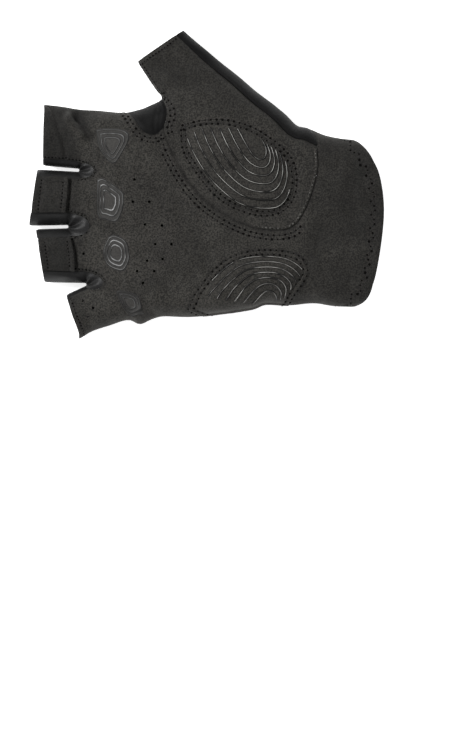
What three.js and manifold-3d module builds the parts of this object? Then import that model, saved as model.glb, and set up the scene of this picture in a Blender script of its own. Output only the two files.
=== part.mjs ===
// A fingerless cycling glove for the right hand, lying palm up on a table.
// The fingers point to -X, the thumb lies on the +Y side and Z points up.
// Every panel is cut from the flat plan of the glove and rolled over its side edge,
// so that the palm side and the back side close round one open hollow for the hand.
import * as THREE from 'three';
import { mergeVertices } from 'three/addons/utils/BufferGeometryUtils.js';
import Module from 'manifold-3d';

// Sizes, in millimetres
const gloveLength = 162;
const palmWidth = 96;
const palmHeight = 19;
const seamHeight = 6.5;
const palmRoll = 10.5;
const backRoll = 8;
const suedeWall = 1.2;
const knitWall = 1.1;
const stretchWall = 1.0;
const seamGap = 0.3;
const slitSeam = 0.6;
const slitRadius = 0.6;
const palmCrotchSpread = 1.6;
const backCrotchSpread = 8;
const wallSpread = 5;
const padHeight = 3.2;
const padRim = 0.9;
const padSlope = 9;
const ribWidth = 1.3;
const ribHeight = 0.6;
const ribSink = 0.9;
const gripHeight = 1.0;
const tabWall = 0.9;
const tabLength = 14;
const tabBulge = 1.5;
const holeRadius = 0.7;
const panelStep = 4;
const sideStep = 2.5;
const flatness = 0.02;
const fitTolerance = 0.02;

// Plan of the glove: x is a share of gloveLength and y of palmWidth, both from the middle
const thumbSideRows = [
  { x: 0.62, y: 0.212 }, { x: 0.5, y: 0.215 }, { x: 0.407, y: 0.218 }, { x: 0.339, y: 0.237 }, { x: 0.288, y: 0.273 },
  { x: 0.257, y: 0.285 }, { x: 0.22, y: 0.345 }, { x: 0.152, y: 0.434 }, { x: 0.084, y: 0.532 },
  { x: 0.016, y: 0.621 }, { x: -0.064, y: 0.74 },
];
const indexSideRows = [
  { x: -0.155, y: 0.386 }, { x: -0.189, y: 0.362 }, { x: -0.24, y: 0.347 }, { x: -0.308, y: 0.357 },
  { x: -0.359, y: 0.362 }, { x: -0.41, y: 0.376 }, { x: -0.461, y: 0.386 },
];
const littleSideRows = [
  { x: -0.359, y: -0.743 }, { x: -0.325, y: -0.707 }, { x: -0.274, y: -0.678 }, { x: -0.223, y: -0.652 },
  { x: -0.189, y: -0.673 }, { x: -0.155, y: -0.649 }, { x: -0.121, y: -0.635 }, { x: -0.047, y: -0.638 },
  { x: 0.033, y: -0.625 }, { x: 0.129, y: -0.601 }, { x: 0.169, y: -0.577 }, { x: 0.237, y: -0.582 },
  { x: 0.305, y: -0.572 }, { x: 0.373, y: -0.587 }, { x: 0.5, y: -0.59 },
  { x: 0.62, y: -0.59 },
];
const cuffEndRows = [
  { x: 0.405, y: -0.65 }, { x: 0.425, y: -0.575 }, { x: 0.467, y: -0.5 }, { x: 0.49, y: -0.343 },
  { x: 0.503, y: -0.146 }, { x: 0.496, y: 0.002 }, { x: 0.475, y: 0.105 }, { x: 0.425, y: 0.2 },
  { x: 0.4, y: 0.28 },
];
// The open end of each finger, from its corner on the thumb side to its other corner
const fingers = {
  thumb: { from: { x: -0.064, y: 0.74 }, to: { x: -0.197, y: 0.587 } },
  index: { from: { x: -0.461, y: 0.386 }, to: { x: -0.464, y: 0.089 } },
  middle: { from: { x: -0.48, y: 0.074 }, to: { x: -0.503, y: -0.199 } },
  ring: { from: { x: -0.484, y: -0.213 }, to: { x: -0.46, y: -0.47 } },
  little: { from: { x: -0.399, y: -0.527 }, to: { x: -0.359, y: -0.743 } },
};
// The bottom of each gap between fingers, and how far its side wall shows on the palm and the back
const slits = [
  { name: 'index_middle', above: 'index', below: 'middle', x: -0.362, y: 0.068,
    palmAbove: 0.052, palmCrotch: 0.085, palmBelow: 0.056, backAbove: 0.073, backCrotch: 0.067, backBelow: 0.048 },
  { name: 'middle_ring', above: 'middle', below: 'ring', x: -0.393, y: -0.202,
    palmAbove: 0.075, palmCrotch: 0.106, palmBelow: 0.064, backAbove: 0.024, backCrotch: 0.07, backBelow: 0.053 },
  { name: 'ring_little', above: 'ring', below: 'little', x: -0.342, y: -0.479,
    palmAbove: 0.071, palmCrotch: 0.092, palmBelow: 0.038, backAbove: 0.024, backCrotch: 0.07, backBelow: 0.049 },
];
const thumbCrotch = { x: -0.127, y: 0.414 };
const thumbCrotchRows = [{ x: -0.172, y: 0.52 }, { x: -0.143, y: 0.448 }, thumbCrotch];

// Height of the palm side above the table, as a share of palmHeight, by x as a share of gloveLength
const crownRows = [
  { x: -0.5, share: 0.76 }, { x: -0.36, share: 0.8 }, { x: -0.2, share: 0.95 }, { x: 0.05, share: 1 },
  { x: 0.28, share: 0.93 }, { x: 0.42, share: 0.8 }, { x: 0.5, share: 0.78 },
];
const thumbCrown = { from: 0.3, to: 0.62, share: 0.74 };

// Where the seams of both sides meet at the wrist, on the thumb's side edge
const wristCorner = { x: 0.29, y: 0.272 };
// Seams on the palm side
const thenarSeamRows = [
  { x: -0.128, y: 0.45 }, { x: -0.127, y: 0.414 }, { x: -0.108, y: 0.347 }, { x: -0.121, y: 0.271 },
  { x: -0.115, y: 0.223 }, { x: -0.095, y: 0.141 }, { x: -0.055, y: 0.022 }, { x: -0.001, y: -0.084 },
  { x: 0.081, y: -0.175 }, { x: 0.163, y: -0.218 }, { x: 0.24, y: -0.208 }, { x: 0.285, y: -0.103 },
  { x: 0.314, y: 0.06 }, { x: 0.311, y: 0.165 }, wristCorner, { x: 0.275, y: 0.36 },
];
const wipeStart = -0.229;
const gussetRows = [
  { x: wipeStart, y: 0.349 }, { x: -0.183, y: 0.256 }, { x: -0.146, y: 0.235 }, { x: -0.121, y: 0.271 },
];
// Seams on the back side, in the same plan
const wipeSeamRows = [
  { x: wipeStart, y: 0.289 }, { x: -0.202, y: 0.29 }, { x: -0.122, y: 0.303 }, { x: -0.069, y: 0.327 },
  { x: -0.019, y: 0.36 }, { x: 0.023, y: 0.414 }, { x: 0.05, y: 0.482 }, { x: 0.05, y: 0.549 },
  { x: 0.027, y: 0.616 }, { x: -0.011, y: 0.69 }, { x: -0.075, y: 0.78 },
];
const stretchSeamRows = [
  { x: 0, y: 0.386 }, { x: 0.039, y: 0.374 }, { x: 0.104, y: 0.32 }, { x: 0.162, y: 0.28 },
  { x: 0.211, y: 0.253 }, { x: 0.257, y: 0.226 }, { x: 0.294, y: 0.213 },
];
const cuffSeamRows = [
  { x: 0.282, y: 0.36 }, wristCorner, { x: 0.298, y: 0.19 }, { x: 0.318, y: -0.007 }, { x: 0.329, y: -0.117 },
  { x: 0.363, y: -0.438 }, { x: 0.376, y: -0.69 },
];
const indexWrap = { atStart: 0.06, atEnd: 0.083 };
const stretchBand = { atStart: 0.088, atEnd: 0.064 };

// Gel pads: their outlines, and the first and last of their grip ribs
const thenarPadRows = [
  { x: -0.066, y: 0.27 }, { x: -0.021, y: 0.29 }, { x: 0.021, y: 0.297 }, { x: 0.068, y: 0.291 },
  { x: 0.136, y: 0.255 }, { x: 0.203, y: 0.177 }, { x: 0.238, y: 0.11 }, { x: 0.25, y: 0.022 },
  { x: 0.24, y: -0.07 }, { x: 0.205, y: -0.13 }, { x: 0.15, y: -0.142 }, { x: 0.083, y: -0.109 },
  { x: 0.026, y: -0.045 }, { x: -0.03, y: 0.073 }, { x: -0.062, y: 0.17 },
];
const hypothenarPadRows = [
  { x: -0.062, y: -0.585 }, { x: -0.035, y: -0.52 }, { x: 0.018, y: -0.407 }, { x: 0.07, y: -0.343 },
  { x: 0.13, y: -0.313 }, { x: 0.2, y: -0.311 }, { x: 0.262, y: -0.335 }, { x: 0.29, y: -0.4 },
  { x: 0.283, y: -0.46 }, { x: 0.25, y: -0.52 }, { x: 0.21, y: -0.6 }, { x: 0.07, y: -0.66 },
];
const thenarRibs = {
  count: 7,
  first: [{ x: 0.098, y: 0.228 }, { x: 0.127, y: 0.155 }, { x: 0.15, y: 0.122 }, { x: 0.166, y: 0.15 }, { x: 0.158, y: 0.2 }],
  last: [{ x: -0.046, y: 0.215 }, { x: 0.02, y: 0.01 }, { x: 0.15, y: -0.112 }, { x: 0.222, y: -0.03 }, { x: 0.226, y: 0.09 }],
};
const hypothenarRibs = {
  count: 6,
  first: [{ x: 0.125, y: -0.55 }, { x: 0.15, y: -0.512 }, { x: 0.175, y: -0.487 }, { x: 0.197, y: -0.505 }, { x: 0.19, y: -0.545 }],
  last: [{ x: -0.02, y: -0.535 }, { x: 0.075, y: -0.39 }, { x: 0.19, y: -0.343 }, { x: 0.265, y: -0.395 }, { x: 0.235, y: -0.515 }],
};
// Grip patches at the finger roots: their corners, from the middle of the patch
const grips = [
  { name: 'index_grip', x: -0.268, y: 0.185, corners: [
    { x: -0.043, y: 0.075 }, { x: 0.036, y: 0.07 }, { x: 0.046, y: 0.02 }, { x: 0.018, y: -0.085 }, { x: -0.046, y: 0.02 }] },
  { name: 'middle_grip', x: -0.276, y: -0.08, corners: [
    { x: -0.03, y: 0.108 }, { x: 0.03, y: 0.055 }, { x: 0.041, y: -0.02 }, { x: 0.026, y: -0.102 }, { x: -0.032, y: -0.08 },
    { x: -0.044, y: 0 }] },
  { name: 'ring_grip', x: -0.256, y: -0.33, corners: [
    { x: -0.018, y: 0.083 }, { x: 0.024, y: 0.05 }, { x: 0.037, y: -0.03 }, { x: 0.02, y: -0.085 }, { x: -0.024, y: -0.06 },
    { x: -0.036, y: 0.02 }] },
  { name: 'little_grip', x: -0.218, y: -0.57, corners: [
    { x: -0.038, y: 0.055 }, { x: 0.014, y: 0.045 }, { x: 0.036, y: -0.025 }, { x: 0.008, y: -0.052 }, { x: -0.024, y: -0.018 }] },
];
// Radial profile of a grip patch: share of the way out, and share of gripHeight
const gripProfile = [
  { out: 0.22, up: 0.5 }, { out: 0.34, up: 1 }, { out: 0.45, up: 0.45 }, { out: 0.56, up: 0.45 }, { out: 0.66, up: 1 },
  { out: 0.76, up: 0.4 }, { out: 0.86, up: 0.4 }, { out: 0.93, up: 0.85 }, { out: 1, up: 0.2 },
];
// Air holes punched through the palm
const holes = [
  { x: -0.212, y: 0.022 }, { x: -0.212, y: -0.084 }, { x: -0.166, y: -0.084 }, { x: -0.177, y: -0.194 },
  { x: -0.126, y: -0.199 }, { x: -0.145, y: -0.288 }, { x: -0.099, y: -0.288 }, { x: -0.168, y: -0.367 },
  { x: -0.124, y: -0.359 }, { x: -0.196, y: -0.417 }, { x: -0.148, y: -0.417 }, { x: -0.18, y: -0.474 },
  { x: -0.349, y: -0.558 }, { x: -0.321, y: -0.592 }, { x: -0.336, y: -0.635 },
];

const colours = {
  suede: { color: 0x33322f, roughness: 0.9, metalness: 0 },
  knit: { color: 0x1f1f20, roughness: 0.85, metalness: 0 },
  stretch: { color: 0x19191a, roughness: 0.7, metalness: 0 },
  gel: { color: 0x2e2d2b, roughness: 0.75, metalness: 0 },
  grip: { color: 0x3a3937, roughness: 0.5, metalness: 0 },
};

const wasm = await Module();
wasm.setup();

const point = (row) => new THREE.Vector2(row.x * gloveLength, row.y * palmWidth);
const mix = (a, b, t) => a + (b - a) * t;
const clamp = (v) => Math.min(Math.max(v, 0), 1);
const smooth = (v) => clamp(v) ** 2 * (3 - 2 * clamp(v));

// A smooth line through rows, as points about `step` apart
function curve(rows, step = sideStep) {
  const line = new THREE.SplineCurve(rows.map(point));
  return line.getSpacedPoints(Math.max(2, Math.ceil(line.getLength() / step)));
}

// Where a finger ends: its two corners, the way out of the finger, and both corners moved on outwards
function fingerEnd(finger) {
  const from = point(finger.from);
  const to = point(finger.to);
  const along = to.clone().sub(from).normalize();
  const out = new THREE.Vector2(along.y, -along.x);
  const reach = out.clone().multiplyScalar(2 * palmRoll);
  return { from, to, out, beyond: [from.clone().add(reach), to.clone().add(reach)] };
}
const ends = Object.fromEntries(Object.entries(fingers).map(([name, row]) => [name, fingerEnd(row)]));

// The two sides of a gap between fingers, joined by an arc round its bottom
function crotchLine(from, bottom, to, radius) {
  const out = from.clone().add(to).multiplyScalar(0.5).sub(bottom).normalize();
  const centre = bottom.clone().addScaledVector(out, radius);
  const before = from.clone().sub(centre).normalize();
  const after = to.clone().sub(centre).normalize();
  const start = Math.atan2(-before.x, before.y);
  let turn = start - Math.atan2(after.x, -after.y);
  turn = turn < 0 ? turn + 2 * Math.PI : turn;
  const arcSteps = 8;
  const arc = Array.from({ length: arcSteps + 1 }, (_, i) => {
    const angle = start - (turn * i) / arcSteps;
    return new THREE.Vector2(Math.cos(angle), Math.sin(angle)).multiplyScalar(radius).add(centre);
  });
  return [from, ...arc, to];
}

// The side edge of the glove, anticlockwise from the cuff past the thumb, as named stretches
const indexSide = curve(indexSideRows);
const stretches = [
  { name: 'thumb_side', points: curve(thumbSideRows) },
  { name: 'thumb_end', points: [ends.thumb.from, ...ends.thumb.beyond, ends.thumb.to] },
  { name: 'thumb_crotch', points: curve([fingers.thumb.to, ...thumbCrotchRows, indexSideRows[0]]) },
  { name: 'index_side', points: indexSide },
  { name: 'index_end', points: [ends.index.from, ...ends.index.beyond, ends.index.to] },
];
for (const slit of slits) {
  const above = ends[slit.above];
  const below = ends[slit.below];
  stretches.push({ name: slit.name, points: crotchLine(above.to, point(slit), below.from, slitRadius) });
  stretches.push({ name: `${slit.below}_end`, points: [below.from, ...below.beyond, below.to] });
}
stretches.push({ name: 'little_side', points: curve(littleSideRows) });

// Straight pieces of a line, each with its length so far, for the distance functions
function segments(points, closed) {
  const found = [];
  let length = 0;
  for (let i = 0; i + 1 < points.length + (closed ? 1 : 0); i++) {
    const a = points[i];
    const b = points[(i + 1) % points.length];
    const size = a.distanceTo(b);
    if (size > 1e-6) {
      found.push({ a, b, size, at: length });
    }
    length += size;
  }
  return found;
}

// The nearest point of a line: its place, how far it is, how far along, and which side we are on
function nearest(pieces, x, y) {
  let best = { distance: Infinity };
  for (const piece of pieces) {
    const dx = piece.b.x - piece.a.x;
    const dy = piece.b.y - piece.a.y;
    const share = clamp(((x - piece.a.x) * dx + (y - piece.a.y) * dy) / piece.size ** 2);
    const px = piece.a.x + share * dx;
    const py = piece.a.y + share * dy;
    const distance = Math.hypot(x - px, y - py);
    if (distance < best.distance - 1e-9) {
      best = { distance, px, py, piece, at: piece.at + share * piece.size };
    }
  }
  return best;
}

function isInside(pieces, x, y) {
  let inside = false;
  for (const { a, b } of pieces) {
    if ((a.y > y) !== (b.y > y) && x < a.x + ((y - a.y) * (b.x - a.x)) / (b.y - a.y)) {
      inside = !inside;
    }
  }
  return inside;
}

// Signed distance to a closed line, positive inside
function region(points) {
  const pieces = segments(points, true);
  return (x, y) => nearest(pieces, x, y).distance * (isInside(pieces, x, y) ? 1 : -1);
}

const outlineSegments = segments(stretches.flatMap((stretch) => stretch.points), true);
const stretchSegments = Object.fromEntries(
  stretches.map((stretch) => [stretch.name, segments(stretch.points, false)]),
);

// The side edge nearest to a plan point, with the way into the glove there
function sideEdge(x, y) {
  const edge = nearest(outlineSegments, x, y);
  const inside = isInside(outlineSegments, x, y);
  const { a, b, size } = edge.piece;
  const sign = inside ? 1 : -1;
  const clear = edge.distance > 1e-3;
  return {
    x: edge.px,
    y: edge.py,
    inX: clear ? (sign * (x - edge.px)) / edge.distance : (a.y - b.y) / size,
    inY: clear ? (sign * (y - edge.py)) / edge.distance : (b.x - a.x) / size,
    distance: sign * edge.distance,
  };
}

// Height of the palm side above the table over a plan point
function crown(x, y) {
  const along = x / gloveLength;
  let i = 1;
  while (i < crownRows.length - 1 && crownRows[i].x < along) {
    i++;
  }
  const a = crownRows[i - 1];
  const b = crownRows[i];
  const share = mix(a.share, b.share, smooth((along - a.x) / (b.x - a.x)));
  const towardsThumb = smooth((y / palmWidth - thumbCrown.from) / (thumbCrown.to - thumbCrown.from));
  return palmHeight * share * mix(1, thumbCrown.share, towardsThumb);
}

// A point `distance` in from the side edge, measured over the cloth: positive on the palm side,
// negative on the back. `lift` raises it off the cloth's outer face, or sinks it into the wall.
function rollOver(edge, distance, lift) {
  const up = distance >= 0 ? 1 : -1;
  const travel = Math.abs(distance);
  const width = up > 0 ? palmRoll : backRoll;
  const angle = (Math.min(travel / width, 1) * Math.PI) / 2;
  const flatIn = travel < width ? width * (1 - Math.cos(angle)) : travel;
  const rise = up > 0 ? crown(edge.x + edge.inX * flatIn, edge.y + edge.inY * flatIn) - seamHeight : seamHeight;
  const slope = Math.hypot(rise * Math.cos(angle), width * Math.sin(angle));
  const along = flatIn - (lift * rise * Math.cos(angle)) / slope;
  const height = rise * Math.sin(angle) + (lift * width * Math.sin(angle)) / slope;
  return new THREE.Vector3(edge.x + edge.inX * along, edge.y + edge.inY * along, seamHeight + up * height);
}
const onPalm = (x, y, lift) => {
  const edge = sideEdge(x, y);
  return rollOver(edge, edge.distance, lift);
};
const onBack = (x, y, lift) => {
  const edge = sideEdge(x, y);
  return rollOver(edge, -edge.distance, lift);
};

// How far a plan point lies inside the open ends of the fingers and the thumb
const dividers = [['thumb', 'index', thumbCrotch], ...slits.map((slit) => [slit.above, slit.below, slit])];
function insideTip(x, y) {
  let owner = 'little';
  for (const [above, below, bottom] of [...dividers].reverse()) {
    const from = point(bottom);
    const to = ends[above].to.clone().add(ends[below].from).multiplyScalar(0.5);
    if ((to.x - from.x) * (y - from.y) - (to.y - from.y) * (x - from.x) < 0) {
      owner = above;
    }
  }
  const end = ends[owner];
  return -((x - end.from.x) * end.out.x + (y - end.from.y) * end.out.y);
}
const far = 2 * gloveLength;
const cuffEnd = curve(cuffEndRows);
const insideCuff = region([
  new THREE.Vector2(-far, -far), new THREE.Vector2(cuffEnd[0].x, -far), ...cuffEnd,
  new THREE.Vector2(cuffEnd.at(-1).x, far), new THREE.Vector2(-far, far),
]);

// How far along a slit's line its bottom lies
function crotchAt(slit) {
  return nearest(stretchSegments[slit.name], gloveLength * slit.x, palmWidth * slit.y).at;
}

// Width of a slit's side wall, by how far along the slit's line the point is
function slitWidth(slit, side, at) {
  const spread = side === 'palm' ? palmCrotchSpread : backCrotchSpread;
  const turn = Math.max(-1, Math.min(1, (at - crotchAt(slit)) / spread));
  const flank = mix(slit[`${side}Above`], slit[`${side}Below`], smooth((turn + 1) / 2));
  return palmWidth * mix(slit[`${side}Crotch`], flank, smooth(Math.abs(turn)));
}
const clearOfSlits = (side) => slits.map((slit) => (x, y) => {
  const near = nearest(stretchSegments[slit.name], x, y);
  return near.distance - slitWidth(slit, side, near.at) - slitSeam / 2;
});

// How far a plan point lies inside a band along a stretch of the side edge
function insideBand(name, band, x, y) {
  const pieces = stretchSegments[name];
  const last = pieces.at(-1);
  const near = nearest(pieces, x, y);
  return palmWidth * mix(band.atStart, band.atEnd, near.at / (last.at + last.size)) - near.distance;
}

// A panel's rules are distances in from its edges: it is where every one of them is positive
const least = (rules) => (x, y) => Math.min(...rules.map((rule) => rule(x, y)));

// A flat mesh of the part of the plan inside all the rules, on a grid fitted to its edges
function cutFlat(rules, box, step) {
  const field = least(rules);
  const columns = Math.ceil((box.max.x - box.min.x) / step);
  const rows = Math.ceil((box.max.y - box.min.y) / step);
  const nodes = fittedNodes(rules, field, box, step, columns, rows);
  const triangles = [];
  const cuts = new Map();
  const cut = (a, b) => {
    const key = a < b ? `${a}_${b}` : `${b}_${a}`;
    if (!cuts.has(key)) {
      let [lo, hi] = nodes[a].f > 0 ? [nodes[a], nodes[b]] : [nodes[b], nodes[a]];
      for (let k = 0; k < 14; k++) {
        const mid = { x: (lo.x + hi.x) / 2, y: (lo.y + hi.y) / 2 };
        [lo, hi] = field(mid.x, mid.y) > 0 ? [mid, hi] : [lo, mid];
      }
      cuts.set(key, nodes.push({ x: lo.x, y: lo.y, f: 0 }) - 1);
    }
    return cuts.get(key);
  };
  const addTriangle = (...corners) => {
    const kept = [];
    corners.forEach((a, k) => {
      const b = corners[(k + 1) % 3];
      if (nodes[a].f >= 0) {
        kept.push(a);
      }
      if (nodes[a].f * nodes[b].f < 0) {
        kept.push(cut(a, b));
      }
    });
    const onEdge = corners.every((a) => nodes[a].f <= 0);
    const centre = ['x', 'y'].map((axis) => corners.reduce((sum, a) => sum + nodes[a][axis] / 3, 0));
    if (kept.length < 3 || (onEdge && field(...centre) <= 0)) {
      return;
    }
    for (let k = 2; k < kept.length; k++) {
      triangles.push([kept[0], kept[k - 1], kept[k]]);
    }
  };
  const area = (a, b, c) => {
    const [p, q, r] = [nodes[a], nodes[b], nodes[c]];
    return (q.x - p.x) * (r.y - p.y) - (q.y - p.y) * (r.x - p.x);
  };
  for (let j = 0; j < rows; j++) {
    for (let i = 0; i < columns; i++) {
      const a = j * (columns + 1) + i;
      const [b, c, d] = [a + 1, a + columns + 2, a + columns + 1];
      const bias = (i + j) % 2 ? 0.3 * step * step : -0.3 * step * step;
      if (Math.min(area(a, b, c), area(a, c, d)) + bias > Math.min(area(a, b, d), area(b, c, d))) {
        addTriangle(a, b, c);
        addTriangle(a, c, d);
      } else {
        addTriangle(a, b, d);
        addTriangle(b, c, d);
      }
    }
  }
  return { nodes, triangles: largestPiece(triangles) };
}

// The grid's nodes, with those nearest to the panel's corners and edges moved on to them
function fittedNodes(rules, field, box, step, columns, rows) {
  const snap = 0.3;
  const nodes = [];
  for (let j = 0; j <= rows; j++) {
    for (let i = 0; i <= columns; i++) {
      const [x, y] = [box.min.x + i * step, box.min.y + j * step];
      const node = { x, y, f: field(x, y) };
      nodes.push(Math.abs(node.f) < snap * step ? ontoEdge(node, field, step) : node);
    }
  }
  for (let j = 0; j < rows; j++) {
    for (let i = 0; i < columns; i++) {
      const x = box.min.x + (i + 0.5) * step;
      const y = box.min.y + (j + 0.5) * step;
      const close = Math.abs(field(x, y)) < step ? rules.filter((rule) => Math.abs(rule(x, y)) < step) : [];
      close.forEach((one, k) => close.slice(k + 1).forEach((other) => {
        const found = cornerOf(one, other, x, y, step / 2);
        if (found && field(found.x, found.y) > -fitTolerance) {
          const column = Math.round((found.x - box.min.x) / step);
          const row = Math.round((found.y - box.min.y) / step);
          nodes[row * (columns + 1) + column] = { ...found, f: 0 };
        }
      }));
    }
  }
  return nodes;
}

// The slope of a rule at a plan point
function slopeOf(rule, x, y) {
  const h = fitTolerance;
  return [(rule(x + h, y) - rule(x - h, y)) / (2 * h), (rule(x, y + h) - rule(x, y - h)) / (2 * h)];
}

// Where the zero lines of two rules cross, if that is within `reach` of a plan point both ways
function cornerOf(one, other, fromX, fromY, reach) {
  let [x, y] = [fromX, fromY];
  for (let k = 0; k < 6; k++) {
    const [a, b] = [one(x, y), other(x, y)];
    const [ax, ay] = slopeOf(one, x, y);
    const [bx, by] = slopeOf(other, x, y);
    const turn = ax * by - ay * bx;
    if (Math.abs(turn) < 0.2) {
      return null;
    }
    x -= (a * by - b * ay) / turn;
    y -= (b * ax - a * bx) / turn;
  }
  const met = Math.abs(one(x, y)) + Math.abs(other(x, y)) < fitTolerance;
  return met && Math.abs(x - fromX) <= reach && Math.abs(y - fromY) <= reach ? { x, y } : null;
}

// Moves a node that lies close to the edge of a field on to it
function ontoEdge(node, field, step) {
  let { x, y, f } = node;
  for (let k = 0; k < 4; k++) {
    const [gx, gy] = slopeOf(field, x, y);
    const size = gx * gx + gy * gy || 1;
    x -= (f * gx) / size;
    y -= (f * gy) / size;
    f = field(x, y);
  }
  const moved = Math.hypot(x - node.x, y - node.y);
  return Math.abs(f) < fitTolerance && moved < 0.42 * step ? { x, y, f: 0 } : node;
}

// The largest set of triangles that share sides
function largestPiece(triangles) {
  const bySide = new Map();
  triangles.forEach((corners, t) => corners.forEach((a, k) => {
    const b = corners[(k + 1) % 3];
    const key = a < b ? `${a}_${b}` : `${b}_${a}`;
    bySide.set(key, [...(bySide.get(key) ?? []), t]);
  }));
  const group = new Array(triangles.length).fill(-1);
  const groups = [];
  triangles.forEach((_, start) => {
    if (group[start] >= 0) {
      return;
    }
    const members = [start];
    group[start] = groups.length;
    for (let k = 0; k < members.length; k++) {
      triangles[members[k]].forEach((a, n) => {
        const b = triangles[members[k]][(n + 1) % 3];
        for (const other of bySide.get(a < b ? `${a}_${b}` : `${b}_${a}`)) {
          if (group[other] < 0) {
            group[other] = groups.length;
            members.push(other);
          }
        }
      });
    }
    groups.push(members);
  });
  const largest = groups.reduce((best, members) => (members.length > best.length ? members : best), []);
  return largest.map((t) => triangles[t]);
}

// A closed wall over one or more flat meshes. `place` puts a plan point at a lift over the cloth's
// outer face, and the wall runs from lift `from` down to `to`. Meshes share the corners where they meet.
function wallSolid(sheets, from, to) {
  const tops = [];
  const feet = [];
  const triangles = [];
  for (const { flat, place, turned } of sheets) {
    const numbers = new Map();
    const others = tops.length;
    for (const n of new Set(flat.triangles.flat())) {
      const { x, y } = flat.nodes[n];
      const top = place(x, y, liftAt(from, x, y));
      const gaps = tops.slice(0, others).map((other) => other.distanceTo(top));
      const gap = Math.min(Infinity, ...gaps);
      numbers.set(n, gap < seamGap ? gaps.indexOf(gap) : tops.push(top) - 1);
      if (gap >= seamGap) {
        feet.push(place(x, y, liftAt(to, x, y)));
      }
    }
    for (const triangle of flat.triangles) {
      const corners = triangle.map((n) => numbers.get(n));
      if (new Set(corners).size === 3) {
        triangles.push(turned ? corners.reverse() : corners);
      }
    }
  }
  const index = [];
  const sides = new Map();
  const count = tops.length;
  for (const [a, b, c] of triangles) {
    index.push(a, b, c, a + count, c + count, b + count);
    for (const [p, q] of [[a, b], [b, c], [c, a]]) {
      if (!sides.delete(`${q}_${p}`)) {
        sides.set(`${p}_${q}`, [p, q]);
      }
    }
  }
  for (const [p, q] of sides.values()) {
    index.push(p, p + count, q, q, p + count, q + count);
  }
  return closedGeometry([...tops, ...feet], index);
}
const liftAt = (lift, x, y) => (typeof lift === 'function' ? lift(x, y) : lift);

// A geometry from corners and triangles, turned so that its faces point out
function closedGeometry(corners, index) {
  let volume = 0;
  for (let k = 0; k < index.length; k += 3) {
    volume += corners[index[k]].dot(corners[index[k + 1]].clone().cross(corners[index[k + 2]]));
  }
  if (volume < 0) {
    index.reverse();
  }
  const geometry = new THREE.BufferGeometry();
  geometry.setAttribute('position', new THREE.Float32BufferAttribute(corners.flatMap((c) => c.toArray()), 3));
  geometry.setIndex(index);
  return geometry;
}

function toManifold(geometry) {
  const bare = new THREE.BufferGeometry();
  bare.setAttribute('position', geometry.getAttribute('position'));
  bare.setIndex(geometry.getIndex());
  const merged = mergeVertices(bare, 1e-4);
  return new wasm.Manifold(new wasm.Mesh({
    numProp: 3,
    vertProperties: new Float32Array(merged.getAttribute('position').array),
    triVerts: new Uint32Array(merged.getIndex().array),
  }));
}

// A solid as a geometry, without the triangles that its flat parts don't need
function fromManifold(solid) {
  const mesh = solid.simplify(flatness).getMesh();
  const geometry = new THREE.BufferGeometry();
  geometry.setAttribute('position', new THREE.Float32BufferAttribute(mesh.vertProperties, 3));
  geometry.setIndex(Array.from(mesh.triVerts));
  return geometry;
}

const whole = new THREE.Box2(
  new THREE.Vector2(-0.56 * gloveLength, -0.86 * palmWidth),
  new THREE.Vector2(0.56 * gloveLength, 0.86 * palmWidth),
);

const glove = new THREE.Group();
glove.name = 'cycling_glove';
function addPiece(name, look, geometry) {
  geometry.computeVertexNormals();
  const mesh = new THREE.Mesh(geometry, new THREE.MeshStandardMaterial(colours[look]));
  mesh.name = name;
  glove.add(mesh);
}
const palmSheet = (rules) => ({ flat: cutFlat(rules, whole, panelStep), place: onPalm });
const backSheet = (rules) => ({ flat: cutFlat(rules, whole, panelStep), place: onBack, turned: true });
function addPanel(name, look, wall, ...sheets) {
  addPiece(name, look, fromManifold(toManifold(wallSolid(sheets, 0, -wall))));
}

const within = (rule) => (x, y) => rule(x, y) - seamGap / 2;
const beyond = (rule) => (x, y) => -rule(x, y) - seamGap / 2;
const insideEdge = (x, y) => sideEdge(x, y).distance;
const insideBack = (x, y) => insideEdge(x, y) - seamGap;

// Seam regions of the palm side, closed round the outside of the thumb
const corner = (x, y) => point({ x, y });
const thenarRegion = region([
  ...curve(thenarSeamRows), corner(0.275, 1.2), corner(-0.4, 1.2), corner(-0.3, 0.62),
]);
const gussetRegion = region([
  ...curve(gussetRows), ...curve(thenarSeamRows.slice(0, 4)).reverse(), corner(-0.2, 0.6), corner(-0.26, 0.45),
]);
const thumbBand = (x, y) => insideBand('thumb_side', stretchBand, x, y);
const indexBand = (x, y) => insideBand('index_side', indexWrap, x, y);
const beforeWipe = (x) => wipeStart * gloveLength - x;

// Seam regions of the back side
const wipeRegion = region([...curve(wipeSeamRows), corner(-0.12, 1.1), corner(wipeStart, 1.1)]);
const cuffRegion = region([
  ...curve(cuffSeamRows), corner(0.376, -1), corner(0.8, -1), corner(0.8, 1), corner(0.282, 1),
]);
const stretchRegion = region([
  ...curve(stretchSeamRows), corner(0.45, 0.1), corner(0.6, 1.2), corner(-0.1, 1.3), corner(-0.3, 0.7),
  corner(-0.1, 0.4),
]);

// The palm, and the strip of it that goes on round the outer side of the index finger to the back
const palmRules = [
  insideEdge, insideTip, insideCuff, beyond(thenarRegion), beyond(gussetRegion), ...clearOfSlits('palm'),
];
const palmWrapRules = [insideEdge, insideTip, within(indexBand), within(beforeWipe)];
const thumbRules = [insideEdge, insideTip, within(thenarRegion), beyond(thumbBand)];
const gussetRules = [insideEdge, within(gussetRegion), beyond(thenarRegion)];
const wipeRules = [insideBack, insideTip, within(wipeRegion)];
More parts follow.
